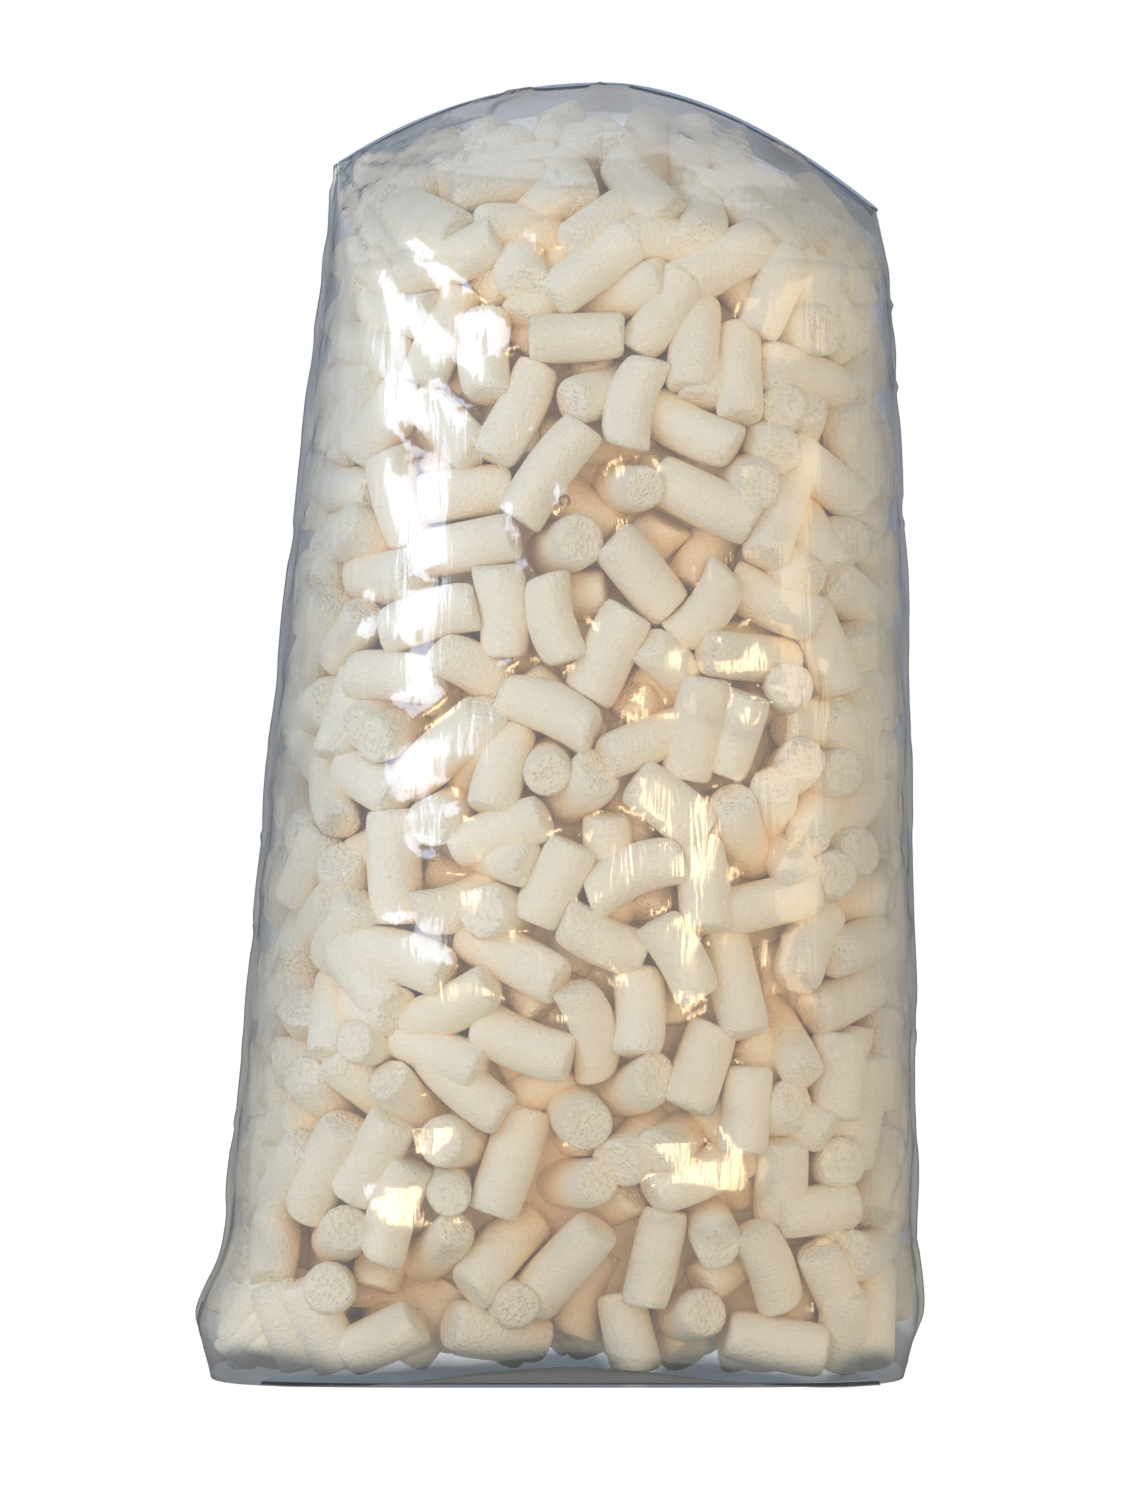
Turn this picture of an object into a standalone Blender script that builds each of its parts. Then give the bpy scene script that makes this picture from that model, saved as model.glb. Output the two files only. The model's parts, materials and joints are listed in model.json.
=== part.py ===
"""Clear film bag full of starch packing peanuts, standing on its flattened base.

Metres, +Z up. The bag stands on Z = 0 with its front towards -Y, and the middle of its box is over the
origin. The bag is a tube of film with a heat seal at each end: the bottom seal runs along the front edge of
the base and turns up a little in its middle, and the top seal runs along an arched crest and hangs over the
back. The peanuts are short foam cylinders. Those against the film are pushed apart on the flat film, which
is then wrapped round the bag. Some that show in front are separate pieces, and all the others are joined
into one heap.
"""

import math
import random

import bmesh
import bpy
import numpy as np
from mathutils import Matrix, Vector
from mathutils.bvhtree import BVHTree

# The filled bag
BASE_WIDTH = 0.238
BASE_DEPTH = 0.118
EAR_WIDTH = 0.2465  # across the two bottom corners, which stand out a little above the floor
EAR_HEIGHT = 0.018
HIP_WIDTH = 0.2355
HIP_HEIGHT = 0.046
WAIST_WIDTH = 0.2115
WAIST_HEIGHT = 0.254
BELLY_DEPTH = 0.160
BELLY_HEIGHT = 0.140
SHOULDER_WIDTH = 0.192
SHOULDER_DEPTH = 0.134
SHOULDER_HEIGHT = 0.378
CREST_WIDTH = 0.188  # along the top seal, between its two corners
CREST_HEIGHT = 0.446
CREST_DROP_LEFT = 0.028  # how far each corner of the crest lies under its middle
CREST_DROP_RIGHT = 0.044
CREST_CURVE_LEFT = 2.2  # the power by which the crest falls to that corner
CREST_CURVE_RIGHT = 1.75
LEAN = 0.013  # the shoulders stand this far to the right of the base
EAR_SHIFT = 0.0045  # the left ear stands out further than the right one, by twice this
BELLY_FORWARD = 0.004  # the belly's middle lies this far in front of the base's

# The film and its two heat seals
FILM = 0.0005
SEAL_WIDTH = 0.009
SEAL_FOLD = 0.006  # the top seal runs back this far before it hangs down
SEAL_TURN_UP = 0.0065  # the bottom seal's edge stands this far off the floor at its middle
FILM_SWELL = 0.0012  # the film stands out by up to this much between the tight places
SWELL_PITCH = 0.058
EDGE_CREASE = 0.0030  # the film stands out along both sides, where the tube was once pressed flat
CREASE_SPREAD = 0.10
GATHER_RISE_LEFT = 0.0045  # folds fan out from both upper corners, this high at the corner
GATHER_RISE_RIGHT = 0.0015
GATHER_REACH = 0.075
GATHER_FOLDS = 11  # to a full turn
VENT_RADIUS = 0.0016  # the small air hole in the front film
VENT_HEIGHT = 0.297
VENT_SIDE = -0.012

# The peanuts
PEANUT_RADIUS = 0.0090
PEANUT_LENGTH = 0.0345
LENGTH_SPREAD = 0.0060
RADIUS_SPREAD = 0.0007
WALL_PEANUTS = 350  # that lie against the film, and the heap's body stands for those behind them
END_ON_SHARE = 0.24  # of them stand on end against the film
HEAP_DEPTH = 0.0090  # the joined heap's body lies this far inside the film, and its peanuts stand out of it
LEAST_STEP = 0.0040  # a peanut that stands out of the heap's body by less is left to it
SINGLES = 42  # separate peanuts
SINGLE_ROOM = 0.22  # between two of them, in peanut thicknesses
SINGLE_LEAN = 0.35  # the most that one leans away from the film
SINGLE_HIGHEST = 0.93  # share of the way up the film

# The flat film that the peanuts are spread on, counted in peanut thicknesses
SHEET_AROUND = 36.5
SHEET_UP = 26.0
SHEET_LOWEST = 0.6
SHEET_HIGHEST = 25.2
SHEET_NARROWING = ((0.0, 0.97), (0.35, 1.0), (0.8, 0.83), (1.0, 0.62))  # at shares of the way up
BODY_SHARE = 0.8  # of the way up that lies under the shoulder
GAP = 0.0003  # running gap between any two solids

# How fine the meshes are
AROUND = 36
BODY_RINGS = 16
CROWN_SHARES = (0.15, 0.31, 0.47, 0.63, 0.78, 0.9, 0.97)  # rings between the shoulder and the crest
PEANUT_SIDES = 6
SINGLE_SIDES = 8
VENT_SIDES = 12
WRAP_STEP = 0.012  # a share of the way up the film, to tell which way is up it
SEED = 41
TRIES = 10  # for each peanut's first place
ROUNDS = 200  # of pushing the peanuts apart


def smooth_line(stations, at):
    """Height of the smooth curve through (place, value) stations, flat beyond both ends."""
    places = [place for place, _ in stations]
    values = [value for _, value in stations]
    if at <= places[0]:
        return values[0]
    if at >= places[-1]:
        return values[-1]
    i = max(k for k in range(len(places) - 1) if places[k] <= at)
    slopes = []
    for k in (i, i + 1):
        low, high = max(k - 1, 0), min(k + 1, len(places) - 1)
        slopes.append((values[high] - values[low]) / (places[high] - places[low]))
    span = places[i + 1] - places[i]
    t = (at - places[i]) / span
    start = (2 * t**3 - 3 * t**2 + 1) * values[i] + (t**3 - 2 * t**2 + t) * span * slopes[0]
    return start + (3 * t**2 - 2 * t**3) * values[i + 1] + (t**3 - t**2) * span * slopes[1]


def body_width(height):
    """Width of the bag at a height between the floor and the shoulder."""
    stations = [
        (0.0, BASE_WIDTH),
        (EAR_HEIGHT, EAR_WIDTH),
        (HIP_HEIGHT, HIP_WIDTH),
        (WAIST_HEIGHT, WAIST_WIDTH),
        (SHOULDER_HEIGHT, SHOULDER_WIDTH),
    ]
    return smooth_line(stations, height)


def body_depth(height):
    """Depth of the bag, front to back, at a height between the floor and the shoulder."""
    stations = [(0.0, BASE_DEPTH), (BELLY_HEIGHT, BELLY_DEPTH), (SHOULDER_HEIGHT, SHOULDER_DEPTH)]
    return smooth_line(stations, height)


def middle(height):
    """Where the bag's middle line lies at a height, as (x, y)."""
    side = smooth_line([(EAR_HEIGHT, -EAR_SHIFT), (HIP_HEIGHT, 0.0), (SHOULDER_HEIGHT, LEAN)], height)
    forward = smooth_line([(0.0, 0.0), (BELLY_HEIGHT, BELLY_FORWARD), (SHOULDER_HEIGHT, 0.0)], height)
    return side, -forward


def crest_height(side):
    """Height of the crest at a distance to the right of its middle."""
    drop, curve = (CREST_DROP_RIGHT, CREST_CURVE_RIGHT) if side > 0 else (CREST_DROP_LEFT, CREST_CURVE_LEFT)
    return CREST_HEIGHT - drop * abs(2 * side / CREST_WIDTH) ** curve


def swell(point):
    """How far the film stands out at a point, from none to FILM_SWELL."""
    turn = 2 * math.pi / SWELL_PITCH
    wave = math.sin(turn * (point.x + 0.4 * point.z)) * math.sin(turn * (0.8 * point.z - 0.5 * point.x))
    wave += 0.6 * math.sin(turn * (0.7 * point.y + 0.9 * point.z) + 1.0)
    return FILM_SWELL * (0.5 + 0.5 * max(-1.0, min(1.0, wave)))


def gathers(point):
    """How far the folds that fan out from the two upper corners lift the film at a point."""
    rise = 0.0
    for side, height in ((-0.5, GATHER_RISE_LEFT), (0.5, GATHER_RISE_RIGHT)):
        across = point.x - middle(SHOULDER_HEIGHT)[0] - side * CREST_WIDTH
        down = crest_height(side * CREST_WIDTH) - point.z
        fan = 0.5 + 0.5 * math.cos(GATHER_FOLDS * math.atan2(across, down) + 4 * side)
        rise += height * fan * math.exp(-math.hypot(across, down) / GATHER_REACH)
    return rise


def stand_out(point, along):
    """How far the film stands out in all at a point: not at all along the floor and along the crest."""
    crease = EDGE_CREASE * math.exp(-abs(along / CREASE_SPREAD) ** 1.2)
    low = min(1.0, point.z / EAR_HEIGHT)
    under_crest = crest_height(point.x - middle(SHOULDER_HEIGHT)[0]) - point.z
    high = min(1.0, max(0.0, under_crest / HIP_HEIGHT))
    return low * high * (swell(point) + gathers(point) + crease)


def loop_points(half_width, half_depth, centre, squareness, height_at, swelling):
    """One loop of points round the bag, from +X through the back. squareness is (front, back)."""
    points = []
    for i in range(AROUND):
        turn = 2 * math.pi * i / AROUND
        across, along = math.cos(turn), math.sin(turn)
        power = squareness[1] if i <= AROUND // 2 else squareness[0]
        reach = (abs(across) ** power + abs(along) ** power) ** (-1 / power)
        side = half_width * reach * across
        point = Vector((centre[0] + side, centre[1] + half_depth * reach * along, height_at(side)))
        outward = Vector((across / half_width, along / half_depth, 0)).normalized()
        points.append(point + outward * (stand_out(point, along) if swelling else 0.0))
    return points


def bag_loops(inset, swelling):
    """The loops of the bag's surface moved in by inset, from the floor to the crest's lowest ring."""
    loops = []
    heights = [SHOULDER_HEIGHT * k / BODY_RINGS for k in range(BODY_RINGS + 1)]
    heights[0] = inset
    heights.insert(1, max(2 * FILM, 2 * inset))
    for height in heights:
        loops.append(body_loop(height, inset, swelling))
    for share in CROWN_SHARES:
        loops.append(crown_loop(share, inset, swelling))
    return loops


def body_loop(height, inset, swelling):
    """The loop at a height between the floor and the shoulder, squarer in front near the floor."""
    square = smooth_line([(0.0, 5.0), (HIP_HEIGHT, 3.2), (BELLY_HEIGHT, 2.6)], height)
    return loop_points(
        body_width(height) / 2 - inset,
        body_depth(height) / 2 - inset,
        middle(height),
        (square, 2.5),
        lambda side: height,
        swelling,
    )


def crown_loop(share, inset, swelling):
    """The loop a share of the way from the shoulder to the arched crest, where front and back films meet."""
    half_width = (SHOULDER_WIDTH + (CREST_WIDTH - SHOULDER_WIDTH) * share) / 2
    half_depth = SHOULDER_DEPTH / 2 * (1 - share**2.2) ** 1.05
    power = 2.5 - 0.5 * share
    return loop_points(
        half_width - inset,
        max(half_depth - inset, FILM),
        middle(SHOULDER_HEIGHT),
        (power, power),
        lambda side: SHOULDER_HEIGHT + (crest_height(side) - SHOULDER_HEIGHT) * share - inset * share,
        swelling,
    )


def skin(mesh, loops, inward):
    """Adds a closed surface through the loops. Returns its loops of vertices and its top faces."""
    rings = [[mesh.verts.new(point) for point in loop] for loop in loops]
    around = len(loops[0])
    made = [mesh.faces.new(list(reversed(rings[0])))]
    for low, high in zip(rings, rings[1:]):
        for i in range(around):
            j = (i + 1) % around
            made.append(mesh.faces.new((low[i], low[j], high[j], high[i])))
    top, half = rings[-1], around // 2
    lid = [mesh.faces.new((top[0], top[1], top[-1]))]
    for i in range(1, half - 1):
        lid.append(mesh.faces.new((top[i], top[i + 1], top[around - i - 1], top[around - i])))
    lid.append(mesh.faces.new((top[half - 1], top[half], top[half + 1])))
    if inward:
        bmesh.ops.reverse_faces(mesh, faces=made + lid)
    return rings, lid


def surface_tree(loops):
    """A closed surface through the loops, as a tree for distances."""
    mesh = bmesh.new()
    skin(mesh, loops, inward=False)
    bmesh.ops.triangulate(mesh, faces=mesh.faces)
    tree = BVHTree.FromBMesh(mesh)
    mesh.free()
    return tree


def extruded(mesh, faces, by):
    """Extrudes the faces by a vector, and returns the moved faces."""
    made = bmesh.ops.extrude_face_region(mesh, geom=faces)["geom"]
    bmesh.ops.translate(mesh, verts=[v for v in made if isinstance(v, bmesh.types.BMVert)], vec=by)
    bmesh.ops.delete(mesh, geom=faces, context="FACES_ONLY")
    return [face for face in made if isinstance(face, bmesh.types.BMFace)]


def outside(tree, point):
    """How far a point lies outside the tree's surface, less than 0 inside, and the way out."""
    near, normal, _, _ = tree.find_nearest(point)
    away = Vector(point) - near
    if away.length < 1e-7:
        return 0.0, normal
    sign = 1.0 if away.dot(normal) > 0 else -1.0
    return sign * away.length, away.normalized() * sign


def narrowing(up):
    """The share of the widest way round that the flat film has, at shares of the way up."""
    shares, widths = zip(*SHEET_NARROWING)
    return np.interp(up / SHEET_UP, shares, widths)


def steps_between(places, first, second):
    """The steps on the flat film from each second place to its first one, which may cross the seam."""
    steps = places[first] - places[second]
    steps[:, 0] -= SHEET_AROUND * np.round(steps[:, 0] / SHEET_AROUND)
    steps[:, 0] *= narrowing((places[first, 1] + places[second, 1]) / 2)
    return steps


def closest(between, a, b, half_a, half_b):
    """For pairs of rods, where on each of them they come closest, and the step from b to a there.

    between are the steps from b's middles to a's, a and b the unit ways, half_a and half_b half the lengths.
    """
    dot = (a * b).sum(1)
    on_a, on_b = (a * between).sum(1), (b * between).sum(1)
    flat = np.maximum(1 - dot * dot, 1e-6)
    s = np.clip((dot * on_b - on_a) / flat, -half_a, half_a)
    t = np.clip(dot * s + on_b, -half_b, half_b)
    s = np.clip(dot * t - on_a, -half_a, half_a)
    return s, t, between + a * s[:, None] - b * t[:, None]


def rods_apart(places, ways, halves, first, second):
    """For pairs of rods on the flat film, where on each of them they come closest, and the step there."""
    between = steps_between(places, first, second)
    return closest(between, ways[first], ways[second], halves[first], halves[second])


def first_places(rng):
    """Places spread evenly over the flat film, each one the furthest of a few tries."""
    places = np.zeros((WALL_PEANUTS, 2))
    for number in range(WALL_PEANUTS):
        tries = []
        while len(tries) < TRIES:
            place = (rng.uniform(0, SHEET_AROUND), rng.uniform(SHEET_LOWEST, SHEET_HIGHEST))
            if rng.random() < narrowing(place[1]):
                tries.append(place)
        far = []
        for place in tries:
            places[number] = place
            steps = steps_between(places, np.full(number, number), np.arange(number))
            far.append(min((steps * steps).sum(1), default=0.0))
        places[number] = tries[far.index(max(far))]
    return places


def spread_out():
    """Where each peanut lies on the flat film: its place, way, half length, half thickness and lean."""
    rng = random.Random(SEED)
    places = first_places(rng)
    thickness = 2 * PEANUT_RADIUS
    radii, lengths, leans, ways = [], [], [], []
    for _ in range(WALL_PEANUTS):
        lengths.append(round((PEANUT_LENGTH + rng.uniform(-1, 1) * LENGTH_SPREAD) / thickness, 6))
        radii.append(round((PEANUT_RADIUS + rng.uniform(-1, 1) * RADIUS_SPREAD) / thickness, 6))
        lean = rng.uniform(0.5, 1.0) if rng.random() < END_ON_SHARE else rng.uniform(0.0, 0.3)
        leans.append(lean * rng.choice((-1, 1)))
        turn = rng.uniform(0, math.pi)
        ways.append((math.cos(turn), math.sin(turn)))
    radii, lengths, leans, ways = map(np.array, (radii, lengths, leans, ways))
    halves = (lengths / 2 - radii) * np.sqrt(1 - leans**2)
    for turn in range(ROUNDS):
        if turn % 5 == 0:
            first, second = np.triu_indices(WALL_PEANUTS, 1)
            steps = steps_between(places, first, second)
            near = (steps * steps).sum(1) < (lengths.max() + 0.5) ** 2
            first, second = first[near], second[near]
        s, t, step = rods_apart(places, ways, halves, first, second)
        distance = np.sqrt((step * step).sum(1)) + 1e-9
        over = np.maximum(radii[first] + radii[second] - distance, 0.0)
        push = step * (0.5 * over / distance)[:, None]
        moves, swings, hits = np.zeros_like(places), np.zeros_like(ways), np.zeros(WALL_PEANUTS)
        for who, where, sign in ((first, s, 1.0), (second, t, -1.0)):
            arm = where / (halves[who] ** 2 + radii[who] ** 2)
            np.add.at(moves, who, sign * push)
            np.add.at(swings, who, sign * push * arm[:, None])
            np.add.at(hits, who, (over > 0).astype(float))
        share = (1.5 / np.maximum(hits, 1.5))[:, None]
        moves[:, 0] /= narrowing(places[:, 1])
        places += moves * share
        places[:, 1] = np.clip(places[:, 1], SHEET_LOWEST, SHEET_HIGHEST)
        ways += swings * share
        ways /= np.sqrt((ways * ways).sum(1))[:, None]
        places, ways = places.round(6), ways.round(6)  # so that the last bits of a sum make no difference
    return places, ways, halves, radii, lengths, leans


def film_place(around, up):
    """The point just inside the film at shares of the way round and up it, and the way round it there."""
    crown = (up - BODY_SHARE) / (1 - BODY_SHARE)
    inset = FILM + GAP
    if crown > 0:
        ring = crown_loop(crown, inset, swelling=False)
    else:
        ring = body_loop(max(inset, SHOULDER_HEIGHT * up / BODY_SHARE), inset, swelling=False)
    spans = [(ring[(i + 1) % AROUND] - ring[i]).length for i in range(AROUND)]
    left = (around % 1.0) * sum(spans)
    for i, span in enumerate(spans):
        if left <= span or i == AROUND - 1:
            side = ring[(i + 1) % AROUND] - ring[i]
            return ring[i] + side * min(1.0, left / span), side.normalized()
        left -= span


def rim_points(peanut, grow):
    """Points round both rims of a peanut, with its size grown all round."""
    _, _, length, radius = peanut
    frame = placed(peanut)
    points = []
    for end in (-0.5, 0.5):
        for i in range(SINGLE_SIDES * 2):
            turn = math.pi * i / SINGLE_SIDES
            across, along = (radius + grow) * math.cos(turn), (radius + grow) * math.sin(turn)
            points.append(frame @ Vector((across, along, end * (length + 2 * grow))))
    return points


def drawn_in(tree, peanut):
    """The peanut moved in until the whole of both rims lies inside the surface."""
    centre, way, length, radius = peanut
    centre = np.array(centre)
    for _ in range(12):
        worst, out = max(
            (outside(tree, point) for point in rim_points((centre, way, length, radius), 0.0)),
            key=lambda found: found[0],
        )
        if worst <= 0:
            break
        centre -= np.array(out) * (worst + GAP)
    return centre, way, length, radius


def packed_peanuts(spread):
    """Every peanut against the film, wrapped from the flat film, as (centre, way, length, radius)."""
    tree = surface_tree(bag_loops(FILM + GAP, swelling=False))
    places, ways, _, radii, lengths, leans = spread
    thickness = 2 * PEANUT_RADIUS
    peanuts = []
    for place, way, radius, length, lean in zip(places, ways, radii * thickness, lengths * thickness, leans):
        around, up = place[0] / SHEET_AROUND, place[1] / SHEET_UP
        point, round_it = film_place(around, up)
        up_it = (film_place(around, min(1.0, up + WRAP_STEP))[0] - point).normalized()
        out = round_it.cross(up_it).normalized()
        flat = round_it * way[0] + out.cross(round_it) * way[1]
        axis = flat * math.sqrt(1 - lean * lean) + out * lean
        reach = abs(lean) * length / 2 + radius * math.sqrt(1 - lean * lean)
        centre = point - out * reach
        lowest = FILM + GAP + abs(axis.z) * length / 2 + radius * math.sqrt(max(0.0, 1 - axis.z**2))
        centre.z = max(centre.z, lowest)
        peanuts.append(drawn_in(tree, (np.array(centre), np.array(axis), length, radius)))
    return peanuts


def placed(peanut):
    """The matrix that lays a cylinder along Z onto a peanut."""
    centre, way, _, _ = peanut
    return Matrix.Translation(Vector(centre)) @ Vector(way).to_track_quat("Z", "Y").to_matrix().to_4x4()


def add_cylinder(mesh, peanut, sides, grow):
    """Adds a peanut, with its size grown all round, to a mesh."""
    _, _, length, radius = peanut
    bmesh.ops.create_cone(
        mesh,
        cap_ends=True,
        segments=sides,
        radius1=radius + grow,
        radius2=radius + grow,
        depth=length + 2 * grow,
        matrix=placed(peanut),
    )


def add_pocket(mesh, peanut, tree):
    """Adds the room round a separate peanut, open all the way out to the film."""
    room = bmesh.new()
    add_cylinder(room, peanut, SINGLE_SIDES, GAP)
    inner = room.verts[:]
    add_cylinder(room, peanut, SINGLE_SIDES, GAP)
    out = outside(tree, peanut[0])[1]
    outer = [vert for vert in room.verts if vert not in inner]
    bmesh.ops.translate(room, verts=outer, vec=out * 2 * peanut[3])
    bmesh.ops.delete(room, geom=room.edges[:], context="EDGES_FACES")
    bmesh.ops.convex_hull(room, input=room.verts[:])
    loose = [vert for vert in room.verts if not vert.link_faces]
    bmesh.ops.delete(room, geom=loose, context="VERTS")
    bmesh.ops.recalc_face_normals(room, faces=room.faces[:])
    bmesh.ops.dissolve_limit(room, angle_limit=0.002, verts=room.verts[:], edges=room.edges[:])
    data = bpy.data.meshes.new("room")
    room.to_mesh(data)
    room.free()
    mesh.from_mesh(data)
    bpy.data.meshes.remove(data)


def material(name, colour, roughness, alpha=1.0):
    """A plastic or foam finish."""
    made = bpy.data.materials.new(name)
    made.use_nodes = True
    shader = made.node_tree.nodes["Principled BSDF"]
    shader.inputs["Base Color"].default_value = (*colour, 1)
    shader.inputs["Roughness"].default_value = roughness
    shader.inputs["Metallic"].default_value = 0.0
    shader.inputs["Alpha"].default_value = alpha
    return made


def make_object(name, mesh, collection, finish=None):
    """Turns a bmesh into a named object."""
    data = bpy.data.meshes.new(name)
    mesh.to_mesh(data)
    mesh.free()
    made = bpy.data.objects.new(name, data)
    collection.objects.link(made)
    if finish:
        data.materials.append(finish)
    return made


def make_cutter(name, mesh, collection):
    """A helper shape that the model itself leaves out."""
    made = make_object(name, mesh, collection)
    made.hide_render = True
    made.display_type = "WIRE"
    return made


def boolean(target, other, operation, with_self=False):
    """Adds an exact Boolean to a target."""
    made = target.modifiers.new(other.name, "BOOLEAN")
    made.operation = operation
    made.object = other
    made.solver = "EXACT"
    made.use_self = with_self


def film_bag(collection, cutters, finish):
    """The bag: an outer and an inner skin, a seal along the floor in front and one over the crest's back."""
    mesh = bmesh.new()
    loops = bag_loops(0.0, swelling=True)
    loops.append(crown_loop(1.0, 0.0, swelling=False))
    rings, lid = skin(mesh, loops, inward=False)
    over_back = extruded(mesh, lid, Vector((0, SEAL_FOLD, -SEAL_FOLD / 4)))
    extruded(mesh, over_back, Vector((0, SEAL_WIDTH / 2, -SEAL_WIDTH * 0.8)))
    front = []
    for i in range(AROUND // 2, AROUND):
        j = (i + 1) % AROUND
        face = mesh.faces.get((rings[0][i], rings[0][j], rings[1][j], rings[1][i]))
        face.normal_update()
        if face.normal.y < -0.75:
            front.append(face)
    for face in extruded(mesh, front, Vector((0, -SEAL_WIDTH, 0))):
        for vert in face.verts:
            vert.tag = True
    for vert in mesh.verts:
        if vert.tag:
            vert.co.z += SEAL_TURN_UP * max(0.0, 1 - (2.6 * vert.co.x / BASE_WIDTH) ** 2)
    skin(mesh, bag_loops(FILM, swelling=True), inward=True)
    bag = make_object("film_bag", mesh, collection, finish)

    punch = bmesh.new()
    side, forward = middle(VENT_HEIGHT)
    bmesh.ops.create_cone(
        punch,
        cap_ends=True,
        segments=VENT_SIDES,
        radius1=VENT_RADIUS,
        radius2=VENT_RADIUS,
        depth=BELLY_DEPTH,
        matrix=Matrix.Translation((side + VENT_SIDE, forward - BELLY_DEPTH / 2, VENT_HEIGHT))
        @ Matrix.Rotation(math.pi / 2, 4, "X"),
    )
    boolean(bag, make_cutter("vent_punch", punch, cutters), "DIFFERENCE")
    return bag


def room_between(peanuts, index, others):
    """The least distance between a peanut and some others, all taken as round-ended."""
    compared = [peanuts[i] for i in [index, *others]]
    centres, ways, lengths, radii = (np.array(values) for values in zip(*compared))
    count = len(others)
    between, way = centres[:1] - centres[1:], np.repeat(ways[:1], count, axis=0)
    _, _, step = closest(between, way, ways[1:], np.full(count, lengths[0] / 2), lengths[1:] / 2)
    return (np.sqrt((step * step).sum(1)) - radii[0] - radii[1:]).min()


def single_peanuts(spread, peanuts):
    """Which peanuts are separate: they lie flat in front or at a side, with room between them."""
    places, ways, halves, radii, _, leans = spread
    chosen = []
    for index, (around, up) in enumerate(places / (SHEET_AROUND, SHEET_UP)):
        in_front = 0.45 < around % 1.0 or around % 1.0 < 0.05
        if not in_front or up > SINGLE_HIGHEST or abs(leans[index]) > SINGLE_LEAN or len(chosen) == SINGLES:
            continue
        if chosen:
            others, here = np.array(chosen), np.full(len(chosen), index)
            _, _, step = rods_apart(places, ways, halves + radii * (1 - math.sqrt(0.5)), here, others)
            room = np.sqrt((step * step).sum(1)) - radii[here] - radii[others]
            if room.min() < SINGLE_ROOM or room_between(peanuts, index, chosen) < GAP:
                continue
        chosen.append(index)
    return sorted(chosen, key=lambda index: -places[index][1])


def peanut_heap(peanuts, singles, collection, cutters, finish):
    """All other peanuts as one solid: a body just inside the film, the outer peanuts on it, and pockets."""
    body_loops = [loop[::2] for loop in bag_loops(HEAP_DEPTH, swelling=False)[1::3]]
    for point in body_loops[0]:
        point.z = FILM + GAP
    tree = surface_tree(body_loops)
    body = bmesh.new()
    skin(body, body_loops, inward=False)
    heap = make_object("peanut_heap", body, collection, finish)

    outer = bmesh.new()
    for index, peanut in enumerate(peanuts):
        centre, way, length, radius = peanut
        steps = []
        for end in (-0.4, 0.0, 0.4):
            depth, out = outside(tree, centre + way * length * end)
            tilt = out.dot(Vector(way))
            steps.append(depth + radius * math.sqrt(max(0.0, 1 - tilt * tilt)))
        if index not in singles and max(steps) > LEAST_STEP:
            add_cylinder(outer, peanut, PEANUT_SIDES, 0.0)
    boolean(heap, make_cutter("outer_peanuts", outer, cutters), "UNION", with_self=True)

    pockets = bmesh.new()
    for index in singles:
        add_pocket(pockets, peanuts[index], tree)
    boolean(heap, make_cutter("pockets", pockets, cutters), "DIFFERENCE", with_self=True)
    return heap


def main():
    """Clears the scene and builds the bag, the heap and the separate peanuts."""
    for old in list(bpy.data.objects):
        bpy.data.objects.remove(old)
    collection = bpy.data.collections.new("packing_peanut_bag")
    cutters = bpy.data.collections.new("cutters")
    bpy.context.scene.collection.children.link(collection)
    bpy.context.scene.collection.children.link(cutters)
    clear_film = material("clear_film", (0.86, 0.89, 0.93), 0.08, alpha=0.25)
    starch_foam = material("starch_foam", (0.90, 0.86, 0.77), 0.85)

    bag = film_bag(collection, cutters, clear_film)
    spread = spread_out()
    peanuts = packed_peanuts(spread)
    singles = single_peanuts(spread, peanuts)
    peanut_heap(peanuts, set(singles), collection, cutters, starch_foam)
    for number, index in enumerate(singles, 1):
        mesh = bmesh.new()
        add_cylinder(mesh, peanuts[index], SINGLE_SIDES, 0.0)
        make_object(f"peanut_{number:02d}", mesh, collection, starch_foam)

    points = [vert.co for vert in bag.data.vertices]
    shift = [-(min(p[i] for p in points) + max(p[i] for p in points)) / 2 for i in (0, 1)]
    for made in [*collection.objects, *cutters.objects]:
        made.location = (*shift, 0)


main()
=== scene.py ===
"""Dresses the packing peanut bag: a clear film bag that stands on the floor, full of ivory starch peanuts.

Metres, in the frame of the solids: +Z up, and the front of the bag towards -Y.
"""

import json
import logging
import math
import random
from dataclasses import dataclass, field
from enum import Enum
from functools import partial
from typing import Any, Callable, Iterable

import bmesh
import bpy
import numpy as np
from mathutils import Matrix, Vector, noise
from mathutils.bvhtree import BVHTree

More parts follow.
